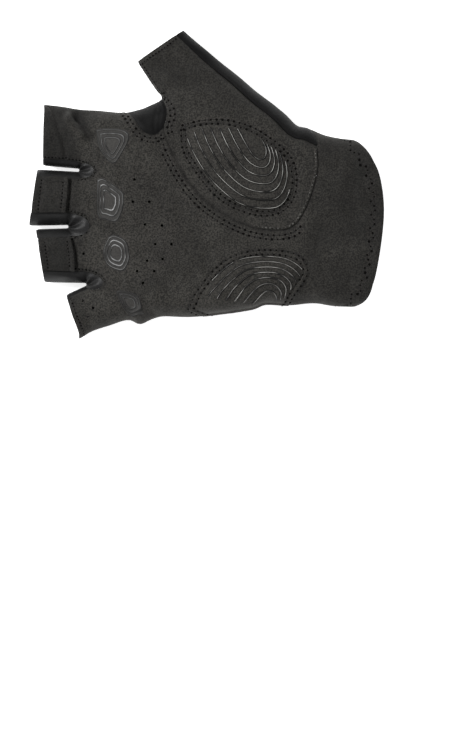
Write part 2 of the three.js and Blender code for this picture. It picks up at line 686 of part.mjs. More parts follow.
// The stretch side panel, and the band of it that goes on round the thumb's outer side to the palm
const stretchRules = [
  insideEdge, insideTip, within(stretchRegion), beyond(wipeRegion), beyond(cuffRegion),
];
const stretchBandRules = [insideEdge, insideTip, within(thumbBand), within(thenarRegion)];
const cuffRules = [insideBack, insideCuff, within(cuffRegion)];
const backRules = [
  insideBack, insideTip, beyond(indexBand), beyond(wipeRegion), beyond(cuffRegion), beyond(stretchRegion),
  ...clearOfSlits('back'),
];

// The side wall of a slit: a strip that follows the slit's line and rolls over it on both sides
function slitWall(slit) {
  const pieces = stretchSegments[slit.name];
  const edges = [];
  let travel = 0;
  for (const { a, b, size, at } of pieces) {
    const [inX, inY] = [(a.y - b.y) / size, (b.x - a.x) / size];
    const steps = Math.ceil(size / sideStep);
    for (let k = 0; k < steps; k++) {
      const share = (k + 0.5) / steps;
      const edge = { x: mix(a.x, b.x, share), y: mix(a.y, b.y, share), inX, inY, at: at + share * size };
      const before = edges.at(-1);
      if (before) {
        travel += Math.hypot(
          edge.x + wallSpread * inX - before.x - wallSpread * before.inX,
          edge.y + wallSpread * inY - before.y - wallSpread * before.inY,
        );
      }
      edges.push({ ...edge, travel });
    }
  }
  const edgeAt = (t) => {
    let i = 1;
    while (i < edges.length - 1 && edges[i].travel < t) {
      i++;
    }
    const [a, b] = [edges[i - 1], edges[i]];
    const share = (t - a.travel) / (b.travel - a.travel);
    const inward = new THREE.Vector2(mix(a.inX, b.inX, share), mix(a.inY, b.inY, share)).normalize();
    return {
      x: mix(a.x, b.x, share), y: mix(a.y, b.y, share), inX: inward.x, inY: inward.y, at: mix(a.at, b.at, share),
    };
  };
  const widest = palmWidth * Math.max(slit.palmCrotch, slit.backCrotch) + sideStep;
  const rules = [
    (t, q) => slitWidth(slit, 'palm', edgeAt(t).at) - slitSeam / 2 - q,
    (t, q) => slitWidth(slit, 'back', edgeAt(t).at) - slitSeam / 2 + q,
    (t, q) => {
      const edge = edgeAt(t);
      const spot = rollOver(edge, q, 0);
      const end = ends[edge.at < (pieces.at(-1).at + pieces.at(-1).size) / 2 ? slit.above : slit.below];
      return -((spot.x - end.from.x) * end.out.x + (spot.y - end.from.y) * end.out.y);
    },
  ];
  const box = new THREE.Box2(
    new THREE.Vector2(-2 * sideStep, -widest), new THREE.Vector2(travel + 2 * sideStep, widest),
  );
  const flat = cutFlat(rules, box, sideStep);
  const place = (t, q, lift) => rollOver(edgeAt(t), q, lift);
  return fromManifold(toManifold(wallSolid([{ flat, place }], 0, -stretchWall)));
}

// Height of a gel pad above the palm, by how far in from its rim a point lies
const padTop = (inset) => padRim + (padHeight - padRim) * Math.sin((clamp(inset / padSlope) * Math.PI) / 2);

// A raised rib that follows a plan line over a pad
function ribSolid(line, topOf) {
  const corners = [];
  const index = [];
  line.forEach((at, i) => {
    const [before, after] = [line[Math.max(i - 1, 0)], line[Math.min(i + 1, line.length - 1)]];
    const along = after.clone().sub(before).normalize();
    for (const [across, lift] of [[-1, -ribSink], [0, ribHeight], [1, -ribSink]]) {
      const x = at.x - (along.y * across * ribWidth) / 2;
      const y = at.y + (along.x * across * ribWidth) / 2;
      corners.push(onPalm(x, y, topOf(at.x, at.y) + lift));
    }
    if (i > 0) {
      const [p, q] = [3 * (i - 1), 3 * i];
      for (let k = 0; k < 3; k++) {
        const n = (k + 1) % 3;
        index.push(p + k, q + k, p + n, p + n, q + k, q + n);
      }
    }
  });
  const last = 3 * (line.length - 1);
  index.push(0, 1, 2, last, last + 2, last + 1);
  return closedGeometry(corners, index);
}

// What a piece that lies on a panel must stay clear of: the panel, raised by the gap over it
const clearOf = (sheet) => toManifold(wallSolid([sheet], seamGap, -2 * suedeWall));
const palm = palmSheet(palmRules);
const thumb = palmSheet(thumbRules);
const clearOfPalm = clearOf(palm);
const clearOfThumb = clearOf(thumb);

// A gel pad on the palm side, with its ribs fused on to it
function gelPad(rows, ribs, below) {
  const rules = [region(curve([...rows, rows[0]])), (x, y) => insideEdge(x, y) - 2 * seamGap];
  const inset = least(rules);
  const top = (x, y) => seamGap + padTop(inset(x, y));
  let solid = toManifold(wallSolid([palmSheet(rules)], top, -seamGap));
  for (let k = 0; k < ribs.count; k++) {
    const rowsHere = ribs.first.map((row, i) => ({
      x: mix(row.x, ribs.last[i].x, k / (ribs.count - 1)),
      y: mix(row.y, ribs.last[i].y, k / (ribs.count - 1)),
    }));
    const line = curve(rowsHere, 1.5 * panelStep).filter((at) => inset(at.x, at.y) > ribWidth);
    solid = solid.add(toManifold(ribSolid(line, top)));
  }
  return fromManifold(solid.subtract(below));
}

// A grip patch: rings raised round its middle
function gripPatch(grip) {
  const middle = point(grip);
  const line = new THREE.SplineCurve([...grip.corners, grip.corners[0]].map(point));
  const around = 14;
  const rim = line.getPoints(around).slice(0, around);
  const corners = [onPalm(middle.x, middle.y, seamGap + gripProfile[0].up * gripHeight)];
  const index = [];
  for (const ring of gripProfile) {
    for (const way of rim) {
      corners.push(onPalm(middle.x + way.x * ring.out, middle.y + way.y * ring.out, seamGap + ring.up * gripHeight));
    }
  }
  for (const way of rim) {
    corners.push(onPalm(middle.x + way.x, middle.y + way.y, -seamGap));
  }
  corners.push(onPalm(middle.x, middle.y, -seamGap));
  for (let k = 0; k < around; k++) {
    const n = (k + 1) % around;
    index.push(0, 1 + n, 1 + k);
    for (let ring = 0; ring < gripProfile.length; ring++) {
      const [p, q] = [1 + ring * around, 1 + (ring + 1) * around];
      index.push(p + k, p + n, q + k, p + n, q + n, q + k);
    }
    const base = 1 + gripProfile.length * around;
    index.push(base + k, base + n, corners.length - 1);
  }
  return fromManifold(toManifold(closedGeometry(corners, index)).subtract(clearOfPalm));
}

// A pull-off tab across the tip of a finger, between the side walls of the slits beside it
function pullTab(name) {
  const end = ends[name];
  const middle = end.from.clone().add(end.to).multiplyScalar(0.5).addScaledVector(end.out, -tabLength / 2);
  const along = (x, y) => -((x - end.from.x) * end.out.x + (y - end.from.y) * end.out.y);
  const width = end.from.distanceTo(end.to);
  const across = (x, y) => Math.abs((x - middle.x) * end.out.y - (y - middle.y) * end.out.x) / width;
  const rules = [
    (x, y) => tabLength + tabBulge * (1 - (2 * across(x, y)) ** 2) - along(x, y),
    (x, y) => along(x, y) - 2 * seamGap,
    ...clearOfSlits('palm').map((rule) => (x, y) => rule(x, y) - 3 * seamGap),
  ];
  const box = new THREE.Box2().setFromCenterAndSize(middle, new THREE.Vector2(2 * tabLength, 2 * tabLength));
  const sheet = { flat: cutFlat(rules, box, sideStep), place: onPalm };
  return fromManifold(toManifold(wallSolid([sheet], seamGap + tabWall, -seamGap)).subtract(clearOfPalm));
}

// The palm panel, with its air holes punched through
function palmPanel() {
  let solid = toManifold(wallSolid([palm, backSheet(palmWrapRules)], 0, -suedeWall));
  for (const hole of holes) {
    const at = point(hole);
    const [top, foot] = [onPalm(at.x, at.y, suedeWall), onPalm(at.x, at.y, -2 * suedeWall)];
    const punch = new THREE.CylinderGeometry(holeRadius, holeRadius, top.distanceTo(foot), 6);
    const along = top.clone().sub(foot).normalize();
    punch.applyQuaternion(new THREE.Quaternion().setFromUnitVectors(new THREE.Vector3(0, 1, 0), along));
    punch.translate(...top.clone().add(foot).multiplyScalar(0.5).toArray());
    solid = solid.subtract(toManifold(punch));
  }
  return fromManifold(solid);
}

addPiece('palm_panel', 'suede', palmPanel());
addPanel('thumb_panel', 'suede', suedeWall, thumb);
addPanel('thumb_gusset', 'stretch', stretchWall, palmSheet(gussetRules));
addPanel('back_panel', 'knit', knitWall, backSheet(backRules));
addPanel('thumb_wipe', 'suede', suedeWall, backSheet(wipeRules));
addPanel('thumb_side_panel', 'stretch', stretchWall, backSheet(stretchRules), palmSheet(stretchBandRules));
addPanel('cuff_back', 'stretch', stretchWall, backSheet(cuffRules));
for (const slit of slits) {
  addPiece(`${slit.name}_fourchette`, 'stretch', slitWall(slit));
}
addPiece('thenar_pad', 'gel', gelPad(thenarPadRows, thenarRibs, clearOfThumb));
addPiece('hypothenar_pad', 'gel', gelPad(hypothenarPadRows, hypothenarRibs, clearOfPalm));
for (const grip of grips) {
  addPiece(grip.name, 'grip', gripPatch(grip));
}
for (const name of ['middle', 'ring']) {
  addPiece(`${name}_pull_tab`, 'suede', pullTab(name));
}

export default glove;
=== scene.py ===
import math

import bpy
import numpy as np
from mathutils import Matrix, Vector
from mathutils.bvhtree import BVHTree
from mathutils.kdtree import KDTree


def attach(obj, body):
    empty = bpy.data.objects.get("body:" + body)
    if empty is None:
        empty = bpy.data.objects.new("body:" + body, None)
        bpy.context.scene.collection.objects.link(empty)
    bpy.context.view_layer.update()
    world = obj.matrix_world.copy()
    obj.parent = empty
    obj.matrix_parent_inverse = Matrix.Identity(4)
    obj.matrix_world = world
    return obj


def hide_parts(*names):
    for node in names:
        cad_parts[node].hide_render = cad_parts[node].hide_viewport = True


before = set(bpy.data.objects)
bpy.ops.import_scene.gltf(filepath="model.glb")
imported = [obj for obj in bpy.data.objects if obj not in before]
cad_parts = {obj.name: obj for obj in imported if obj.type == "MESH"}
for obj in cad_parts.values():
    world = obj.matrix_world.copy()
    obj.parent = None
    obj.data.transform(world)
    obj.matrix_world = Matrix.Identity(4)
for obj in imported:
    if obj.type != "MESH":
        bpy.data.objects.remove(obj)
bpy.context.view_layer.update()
print("frame:", len(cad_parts), "nodes")

# The glove's own sizes, in millimetres
glove = {
    "length": 162,
    "palmWidth": 96,
    "palmHeight": 19,
    "seamHeight": 6.5,
    "palmRoll": 10.5,  # how far in the rolled side edge reaches on the palm
    "backRoll": 8,
    "slitRadius": 0.6,
    "palmCrotchSpread": 0.7,
    "backCrotchSpread": 8,
    "wallSpread": 5,
    "seam": 0.08,  # sewn edges all but touch
    "grid": 0.7,
}
milli = 0.001

# Flat plan, in shares of the length (x) and of the palm width (y)
thumbSideRows = [
    (0.62, 0.212), (0.5, 0.215), (0.407, 0.218), (0.339, 0.237), (0.288, 0.273), (0.257, 0.285),
    (0.22, 0.345), (0.152, 0.434), (0.084, 0.532), (0.016, 0.621), (-0.064, 0.74),
]
indexSideRows = [
    (-0.155, 0.386), (-0.189, 0.362), (-0.24, 0.347), (-0.308, 0.357), (-0.359, 0.362), (-0.41, 0.376),
    (-0.461, 0.386),
]
littleSideRows = [
    (-0.359, -0.743), (-0.325, -0.707), (-0.274, -0.678), (-0.223, -0.652), (-0.189, -0.673),
    (-0.155, -0.649), (-0.121, -0.635), (-0.047, -0.638), (0.033, -0.625), (0.129, -0.601),
    (0.169, -0.577), (0.237, -0.582), (0.305, -0.572), (0.373, -0.587), (0.5, -0.59), (0.62, -0.59),
]
cuffEndRows = [
    (0.405, -0.65), (0.425, -0.575), (0.467, -0.5), (0.49, -0.343), (0.503, -0.146), (0.496, 0.002),
    (0.475, 0.105), (0.425, 0.2), (0.4, 0.28),
]
fingerRows = {
    "thumb": [(-0.064, 0.74), (-0.197, 0.587)],
    "index": [(-0.461, 0.386), (-0.464, 0.089)],
    "middle": [(-0.48, 0.074), (-0.503, -0.199)],
    "ring": [(-0.484, -0.213), (-0.46, -0.47)],
    "little": [(-0.399, -0.527), (-0.359, -0.743)],
}
slits = [
    {"name": "index_middle", "above": "index", "below": "middle", "bottom": (-0.362, 0.068),
     "palm": (0.052, 0.085, 0.056), "back": (0.073, 0.067, 0.048)},
    {"name": "middle_ring", "above": "middle", "below": "ring", "bottom": (-0.393, -0.202),
     "palm": (0.075, 0.106, 0.064), "back": (0.024, 0.07, 0.053)},
    {"name": "ring_little", "above": "ring", "below": "little", "bottom": (-0.342, -0.479),
     "palm": (0.071, 0.092, 0.038), "back": (0.024, 0.07, 0.049)},
]
thumbCrotch = (-0.127, 0.414)
thumbCrotchRows = [fingerRows["thumb"][1], (-0.172, 0.52), (-0.143, 0.448), thumbCrotch, indexSideRows[0]]
crownRows = np.array([
    (-0.5, 0.76), (-0.36, 0.8), (-0.2, 0.95), (0.05, 1), (0.28, 0.93), (0.42, 0.8), (0.5, 0.78),
])
wristCorner = (0.29, 0.272)
thenarSeamRows = [
    (-0.128, 0.45), (-0.127, 0.414), (-0.108, 0.347), (-0.121, 0.271), (-0.115, 0.223), (-0.095, 0.141),
    (-0.055, 0.022), (-0.001, -0.084), (0.081, -0.175), (0.163, -0.218), (0.24, -0.208), (0.285, -0.103),
    (0.314, 0.06), (0.311, 0.165), wristCorner, (0.275, 0.36),
]
wipeStart = -0.229
gussetRows = [(wipeStart, 0.349), (-0.183, 0.256), (-0.146, 0.235), (-0.121, 0.271)]
wipeSeamRows = [
    (wipeStart, 0.289), (-0.202, 0.29), (-0.122, 0.303), (-0.069, 0.327), (-0.019, 0.36), (0.023, 0.414),
    (0.05, 0.482), (0.05, 0.549), (0.027, 0.616), (-0.011, 0.69), (-0.075, 0.78),
]
stretchSeamRows = [
    (0, 0.386), (0.039, 0.374), (0.104, 0.32), (0.162, 0.28), (0.211, 0.253), (0.257, 0.226), (0.294, 0.213),
]
cuffSeamRows = [
    (0.282, 0.36), wristCorner, (0.298, 0.19), (0.318, -0.007), (0.329, -0.117), (0.363, -0.438),
    (0.376, -0.69),
]
indexWrap = (0.06, 0.083)
stretchBand = (0.088, 0.064)


def inPlan(rows):
    return np.asarray(rows, float) * (glove["length"], glove["palmWidth"])


def smooth(share):
    share = np.clip(share, 0, 1)
    return share * share * (3 - 2 * share)


def unit(way):
    return way / np.linalg.norm(way)


# A smooth line through rows in mm, as points about a step apart
def lineThrough(rows, step=1.8):
    rows = np.asarray(rows, float)
    one, two = rows[:-1], rows[1:]
    before, after = np.vstack([rows[:1], rows[:-2]]), np.vstack([rows[2:], rows[-1:]])
    way, wayOn = (two - before) / 2, (after - one) / 2
    t = np.linspace(0, 1, 24, endpoint=False)[:, None, None]
    cubed, squared = 2 * one - 2 * two + way + wayOn, 3 * two - 3 * one - 2 * way - wayOn
    dense = cubed * t**3 + squared * t**2 + way * t + one
    dense = np.vstack([dense.transpose(1, 0, 2).reshape(-1, 2), rows[-1:]])
    return evenly(dense, step)


def evenly(points, step):
    at = np.concatenate([[0], np.cumsum(np.linalg.norm(np.diff(points, axis=0), axis=1))])
    marks = np.linspace(0, at[-1], max(2, math.ceil(at[-1] / step)) + 1)
    return np.column_stack([np.interp(marks, at, points[:, k]) for k in range(points.shape[1])])


def planLine(rows, step=1.8):
    return lineThrough(inPlan(rows), step)


def offsetLine(points, by):  # to the left of the way the line runs
    way = np.gradient(points, axis=0)
    way /= np.linalg.norm(way, axis=1)[:, None]
    return points + by * np.column_stack([-way[:, 1], way[:, 0]])


def segmentsOf(points, closed=False):
    a = points if closed else points[:-1]
    b = np.roll(points, -1, 0) if closed else points[1:]
    size = np.linalg.norm(b - a, axis=1)
    at = np.concatenate([[0], np.cumsum(size)[:-1]])
    kept = size > 1e-6
    return {"a": a[kept], "b": b[kept], "size": size[kept], "at": at[kept], "length": size.sum()}


def nearestOn(line, spots):
    best = np.full(len(spots), np.inf)
    which = np.zeros(len(spots), int)
    share = np.zeros(len(spots))
    for k, (a, b, size) in enumerate(zip(line["a"], line["b"], line["size"])):
        way = b - a
        s = np.clip(((spots - a) @ way) / size**2, 0, 1)
        gap = np.hypot(spots[:, 0] - a[0] - s * way[0], spots[:, 1] - a[1] - s * way[1])
        closer = gap < best - 1e-9
        best[closer], which[closer], share[closer] = gap[closer], k, s[closer]
    foot = line["a"][which] + share[:, None] * (line["b"] - line["a"])[which]
    at = line["at"][which] + share * line["size"][which]
    return {"distance": best, "which": which, "foot": foot, "at": at}


def isInside(line, spots):
    inside = np.zeros(len(spots), bool)
    x, y = spots.T
    for a, b in zip(line["a"], line["b"]):
        if a[1] != b[1]:
            crosses = ((a[1] > y) != (b[1] > y)) & (x < a[0] + (y - a[1]) * (b[0] - a[0]) / (b[1] - a[1]))
            inside ^= crosses
    return inside


def region(points):  # signed distance to a closed line, positive inside
    line = segmentsOf(points, True)
    return lambda spots: nearestOn(line, spots)["distance"] * np.where(isInside(line, spots), 1, -1)


def fingerEnd(rows):
    start, stop = inPlan(rows)
    along = unit(stop - start)
    out = np.array([along[1], -along[0]])
    reach = out * 2 * glove["palmRoll"]
    return {"from": start, "to": stop, "out": out, "beyond": [start + reach, stop + reach]}


ends = {name: fingerEnd(rows) for name, rows in fingerRows.items()}


def crotchLine(start, bottom, stop, radius):
    centre = bottom + radius * unit((start + stop) / 2 - bottom)
    before, after = unit(start - centre), unit(stop - centre)
    first = math.atan2(-before[0], before[1])
    turn = (first - math.atan2(after[0], -after[1])) % (2 * math.pi)
    angles = first - turn * np.linspace(0, 1, 13)
    arc = centre + radius * np.column_stack([np.cos(angles), np.sin(angles)])
    return np.vstack([start, arc, stop])


def endLine(name):
    end = ends[name]
    return np.array([end["from"], *end["beyond"], end["to"]])


# The side edge, anticlockwise from the cuff past the thumb
stretches = {
    "thumb_side": planLine(thumbSideRows),
    "thumb_end": endLine("thumb"),
    "thumb_crotch": planLine(thumbCrotchRows),
    "index_side": planLine(indexSideRows),
    "index_end": endLine("index"),
}
for slit in slits:
    above, below = ends[slit["above"]], ends[slit["below"]]
    bottom = inPlan(slit["bottom"])
    stretches[slit["name"]] = crotchLine(above["to"], bottom, below["from"], glove["slitRadius"])
    stretches[slit["below"] + "_end"] = endLine(slit["below"])
stretches["little_side"] = planLine(littleSideRows)
outline = segmentsOf(np.vstack(list(stretches.values())), True)
stretchLines = {name: segmentsOf(points) for name, points in stretches.items()}


def sideEdge(spots):
    near = nearestOn(outline, spots)
    sign = np.where(isInside(outline, spots), 1.0, -1.0)
    gap = near["distance"][:, None]
    side = (outline["b"] - outline["a"])[near["which"]] / outline["size"][near["which"]][:, None]
    square = np.column_stack([-side[:, 1], side[:, 0]])
    inward = np.where(gap > 1e-3, sign[:, None] * (spots - near["foot"]) / np.maximum(gap, 1e-9), square)
    return {"foot": near["foot"], "inward": inward, "distance": sign * near["distance"]}


# The palm gets lower towards the thumb, by this share, from and over these shares of its width
thumbSlope = {"from": 0.3, "over": 0.32, "lower": 0.26}


def crown(spots):  # height of the palm side
    along = spots[:, 0] / glove["length"]
    i = np.clip(np.searchsorted(crownRows[:, 0], along), 1, len(crownRows) - 1)
    a, b = crownRows[i - 1], crownRows[i]
    share = a[:, 1] + (b[:, 1] - a[:, 1]) * smooth((along - a[:, 0]) / (b[:, 0] - a[:, 0]))
    towardsThumb = smooth((spots[:, 1] / glove["palmWidth"] - thumbSlope["from"]) / thumbSlope["over"])
    return glove["palmHeight"] * share * (1 - thumbSlope["lower"] * towardsThumb)


def rollOver(foot, inward, distance, lift):
    up = np.where(distance >= 0, 1.0, -1.0)
    travel = np.abs(distance)
    width = np.where(up > 0, glove["palmRoll"], glove["backRoll"])
    angle = np.minimum(travel / width, 1) * math.pi / 2
    flatIn = np.where(travel < width, width * (1 - np.cos(angle)), travel)
    rise = np.where(up > 0, crown(foot + inward * flatIn[:, None]) - glove["seamHeight"], glove["seamHeight"])
    slope = np.hypot(rise * np.cos(angle), width * np.sin(angle))
    along = flatIn - lift * rise * np.cos(angle) / slope
    height = rise * np.sin(angle) + lift * width * np.sin(angle) / slope
    return np.column_stack([foot + inward * along[:, None], glove["seamHeight"] + up * height])


def onPalm(spots, lift):
    edge = sideEdge(spots)
    return rollOver(edge["foot"], edge["inward"], edge["distance"], lift)


def onBack(spots, lift):
    edge = sideEdge(spots)
    return rollOver(edge["foot"], edge["inward"], -edge["distance"], lift)


def seenFromAbove(spots):  # the plan points of what lies at these places when looked down on
    edge = sideEdge(spots)
    share = np.clip(edge["distance"] / glove["palmRoll"], 0, 1)[:, None]
    moved = edge["foot"] + edge["inward"] * glove["palmRoll"] * np.arccos(1 - share) * 2 / math.pi
    return np.where(share < 1, moved, spots)


dividers = [("thumb", "index", inPlan(thumbCrotch))]
dividers += [(slit["above"], slit["below"], inPlan(slit["bottom"])) for slit in slits]


def insideTip(spots):  # how far inside the open ends of the fingers
    end = ends["little"]
    left = -((spots - end["from"]) @ end["out"])
    for above, below, start in reversed(dividers):
        way = (ends[above]["to"] + ends[below]["from"]) / 2 - start
        beyondLine = way[0] * (spots[:, 1] - start[1]) - way[1] * (spots[:, 0] - start[0]) < 0
        end = ends[above]
        left[beyondLine] = -((spots[beyondLine] - end["from"]) @ end["out"])
    return left


far = 2 * glove["length"]
cuffEnd = planLine(cuffEndRows)
insideCuff = region(np.vstack([
    (-far, -far), (cuffEnd[0, 0], -far), cuffEnd, (cuffEnd[-1, 0], far), (-far, far),
]))


def crotchAt(slit):  # how far along its line the bottom of a slit lies
    return nearestOn(stretchLines[slit["name"]], inPlan([slit["bottom"]]))["at"][0]


def slitWidth(slit, side, at):
    turn = np.clip((at - crotchAt(slit)) / glove[side + "CrotchSpread"], -1, 1)
    over, crotch, under = slit[side]
    flank = over + (under - over) * smooth((turn + 1) / 2)
    return glove["palmWidth"] * (crotch + (flank - crotch) * smooth(np.abs(turn)))


def clearOfSlit(slit, side):
    def rule(spots):
        near = nearestOn(stretchLines[slit["name"]], spots)
        return near["distance"] - slitWidth(slit, side, near["at"]) - glove["seam"] / 2
    return rule


def insideBand(name, band):
    line = stretchLines[name]

    def rule(spots):
        near = nearestOn(line, spots)
        wide = band[0] + (band[1] - band[0]) * near["at"] / line["length"]
        return glove["palmWidth"] * wide - near["distance"]
    return rule


def within(rule):
    return lambda spots: rule(spots) - glove["seam"] / 2


def beyond(rule):
    return lambda spots: -rule(spots) - glove["seam"] / 2


def insideEdge(spots):
    return sideEdge(spots)["distance"]


def insideBack(spots):
    return insideEdge(spots) - glove["seam"]


def corner(x, y):
    return inPlan([(x, y)])


thenarSeam = planLine(thenarSeamRows)
gussetSeam = planLine(gussetRows)
wipeSeam = planLine(wipeSeamRows)
cuffSeam = planLine(cuffSeamRows)
stretchSeam = planLine(stretchSeamRows)
thenarRegion = region(np.vstack([thenarSeam, corner(0.275, 1.2), corner(-0.4, 1.2), corner(-0.3, 0.62)]))
gussetRegion = region(np.vstack([
    gussetSeam, planLine(thenarSeamRows[:4])[::-1], corner(-0.2, 0.6), corner(-0.26, 0.45),
]))
thumbBand = insideBand("thumb_side", stretchBand)
indexBand = insideBand("index_side", indexWrap)
wipeRegion = region(np.vstack([wipeSeam, corner(-0.12, 1.1), corner(wipeStart, 1.1)]))
cuffRegion = region(np.vstack([
    cuffSeam, corner(0.376, -1), corner(0.8, -1), corner(0.8, 1), corner(0.282, 1),
]))
stretchRegion = region(np.vstack([
    stretchSeam, corner(0.45, 0.1), corner(0.6, 1.2), corner(-0.1, 1.3), corner(-0.3, 0.7), corner(-0.1, 0.4),
]))
palmSlits = [clearOfSlit(slit, "palm") for slit in slits]
backSlits = [clearOfSlit(slit, "back") for slit in slits]


def aheadOfWipe(spots):  # the palm's wrap round the index finger ends where the thumb's wipe begins
    return wipeStart * glove["length"] - spots[:, 0] - glove["seam"] / 2


panelRules = {
    "palm": [insideTip, insideCuff, insideEdge, beyond(thenarRegion), beyond(gussetRegion), *palmSlits],
    "palmWrap": [aheadOfWipe, insideTip, insideEdge, within(indexBand)],
    "thumb": [insideTip, insideEdge, within(thenarRegion), beyond(thumbBand)],
    "gusset": [insideEdge, within(gussetRegion), beyond(thenarRegion)],
    "wipe": [insideTip, insideBack, within(wipeRegion)],
    "stretch": [insideTip, insideEdge, within(stretchRegion), beyond(wipeRegion), beyond(cuffRegion)],
    "stretchBand": [insideTip, insideEdge, within(thumbBand), within(thenarRegion)],
    "cuff": [insideCuff, insideBack, within(cuffRegion)],
    "back": [insideTip, insideBack, beyond(indexBand), beyond(wipeRegion), beyond(cuffRegion),
             beyond(stretchRegion), *backSlits],
}


def leastOf(rules, reach):
    def field(spots):
        least = rules[0](spots)
        for rule in rules[1:]:
            live = least > -reach
            if live.any():
                least[live] = np.minimum(least[live], rule(spots[live]))
        return least
    return field


def largestPiece(faces, count):
    label = np.arange(count)
    while True:
        lowest = label.copy()
        np.minimum.at(lowest, faces.ravel(), np.repeat(label[faces].min(1), 3))
        lowest = lowest[lowest]
        if (lowest == label).all():
            break
        label = lowest
    names, sizes = np.unique(label[faces[:, 0]], return_counts=True)
    return faces[label[faces[:, 0]] == names[sizes.argmax()]]


def settleOnEdge(spots, f, field, step):  # moves the grid's spots close to the edge on to it
    close = np.flatnonzero(np.abs(f) < 0.35 * step)
    moved, g = spots[close].copy(), f[close]
    for _ in range(3):
        slope = np.column_stack([
            (field(moved + (0.02, 0)) - field(moved - (0.02, 0))) / 0.04,
            (field(moved + (0, 0.02)) - field(moved - (0, 0.02))) / 0.04,
        ])
        moved -= (g / np.maximum((slope**2).sum(1), 0.05))[:, None] * slope
        g = field(moved)
    good = (np.abs(g) < 0.02) & (np.linalg.norm(moved - spots[close], axis=1) < 0.45 * step)
    spots[close[good]], f[close[good]] = moved[good], 0


def gridTriangles(columns, rows, f):  # of the squares that have a corner inside
    i, j = np.meshgrid(np.arange(columns), np.arange(rows))
    a = (j * (columns + 1) + i).ravel()
    odd = ((i + j) % 2).ravel().astype(bool)
    b, c, d = a + 1, a + columns + 2, a + columns + 1
    live = (f[a] >= 0) | (f[b] >= 0) | (f[c] >= 0) | (f[d] >= 0)
    a, b, c, d, odd = a[live], b[live], c[live], d[live], odd[live]
    one = np.where(odd[:, None], np.column_stack([a, b, c]), np.column_stack([a, b, d]))
    two = np.where(odd[:, None], np.column_stack([a, c, d]), np.column_stack([b, c, d]))
    return np.vstack([one, two])


def trueFaces(faces):  # the ones with three different corners
    a, b, c = faces.T
    return faces[(a != b) & (b != c) & (c != a)]


def turnedTo(faces, first):  # the same faces, each starting at its chosen corner
    return np.take_along_axis(faces, (first[:, None] + [0, 1, 2]) % 3, 1)


# A flat mesh of where every rule is positive, on a grid whose nodes near the edge are moved on to it
def cutFlat(rules, step, low=(-0.54, -0.8), high=(0.54, 0.8), shares=True):
    if shares:
        low, high = inPlan(low), inPlan(high)
    field = leastOf(rules, 2.5 * step)
    columns, rows = (int(math.ceil((high[k] - low[k]) / step)) for k in (0, 1))
    i, j = np.meshgrid(np.arange(columns + 1), np.arange(rows + 1))
    spots = np.column_stack([low[0] + step * i.ravel(), low[1] + step * j.ravel()])
    f = field(spots)
    settleOnEdge(spots, f, field, step)
    faces = gridTriangles(columns, rows, f)
    count = (f[faces] >= 0).sum(1)
    whole = faces[count == 3]
    flatOnes = (f[whole] == 0).all(1)
    centres = spots[whole[flatOnes]].mean(1)
    dropped = np.flatnonzero(flatOnes)[field(centres) <= 0] if len(centres) else []
    whole = np.delete(whole, dropped, 0)
    oneIn, twoIn = faces[count == 1], faces[count == 2]
    oneIn = turnedTo(oneIn, (f[oneIn] >= 0).argmax(1))
    twoIn = turnedTo(twoIn, (f[twoIn] < 0).argmax(1))
    # the sides that cross the edge, inside end first
    cuts = np.vstack([oneIn[:, [0, 1]], oneIn[:, [0, 2]], twoIn[:, [1, 0]], twoIn[:, [2, 0]]])
    pairs, place = np.unique(cuts, axis=0, return_inverse=True)
    place = place.ravel()
    inner, outer = spots[pairs[:, 0]].copy(), spots[pairs[:, 1]].copy()
    for _ in range(12):
        middle = (inner + outer) / 2
        kept = field(middle) >= 0
        inner[kept], outer[~kept] = middle[kept], middle[~kept]
    numbers = np.where(f[pairs[:, 0]] == 0, pairs[:, 0], len(spots) + np.arange(len(pairs)))[place]
    spots = np.vstack([spots, inner])
    n, m = len(oneIn), len(twoIn)
    cutB, cutC = numbers[:n], numbers[n:2 * n]
    cutP, cutQ = numbers[2 * n:2 * n + m], numbers[2 * n + m:]
    faces = trueFaces(np.vstack([
        whole, np.column_stack([oneIn[:, 0], cutB, cutC]),
        np.column_stack([twoIn[:, 1], twoIn[:, 2], cutQ]), np.column_stack([twoIn[:, 1], cutQ, cutP]),
    ]))
    faces = largestPiece(faces, len(spots))
    used, faces = np.unique(faces, return_inverse=True)
    spots = spots[used]
    return {"spots": spots, "faces": faces.reshape(-1, 3), "inset": np.maximum(field(spots), 0)}


def rimOf(faces):  # sides that only one face has
    sides = np.vstack([faces[:, [0, 1]], faces[:, [1, 2]], faces[:, [2, 0]]])
    size = faces.max() + 1
    return sides[~np.isin(sides[:, 0] * size + sides[:, 1], sides[:, 1] * size + sides[:, 0])]


def closedFaces(faces, total):  # the top faces, the same turned over for the foot, and the wall between them
    a, b = rimOf(faces).T
    wall = np.vstack([np.column_stack([a, a + total, b]), np.column_stack([b, a + total, b + total])])
    return np.vstack([faces, faces[:, ::-1] + total, wall])


def meshPiece(name, corners, faces, material, cloth=None, values=None, sharp=50):
    corners = np.asarray(corners)
    p, q, r = (corners[faces[:, k]] for k in range(3))
    if (p * np.cross(q, r)).sum() < 0:
        faces = faces[:, ::-1]
    mesh = bpy.data.meshes.new(name)
    mesh.from_pydata((corners * milli).tolist(), [], faces.tolist())
    mesh.materials.append(material)
    if cloth is not None:
        loops = np.zeros(len(mesh.loops), int)
        mesh.loops.foreach_get("vertex_index", loops)
        # one unit of this map is 10 mm of cloth
        mesh.uv_layers.new(name="cloth").data.foreach_set("uv", (cloth[loops] / 10).ravel())
    for key, numbers in (values or {}).items():
        mesh.attributes.new(key, "FLOAT", "POINT").data.foreach_set("value", np.asarray(numbers, np.float32))
    mesh.shade_smooth()
    mesh.set_sharp_from_angle(angle=math.radians(sharp))
    piece = bpy.data.objects.new(name, mesh)
    bpy.context.scene.collection.objects.link(piece)
    return piece


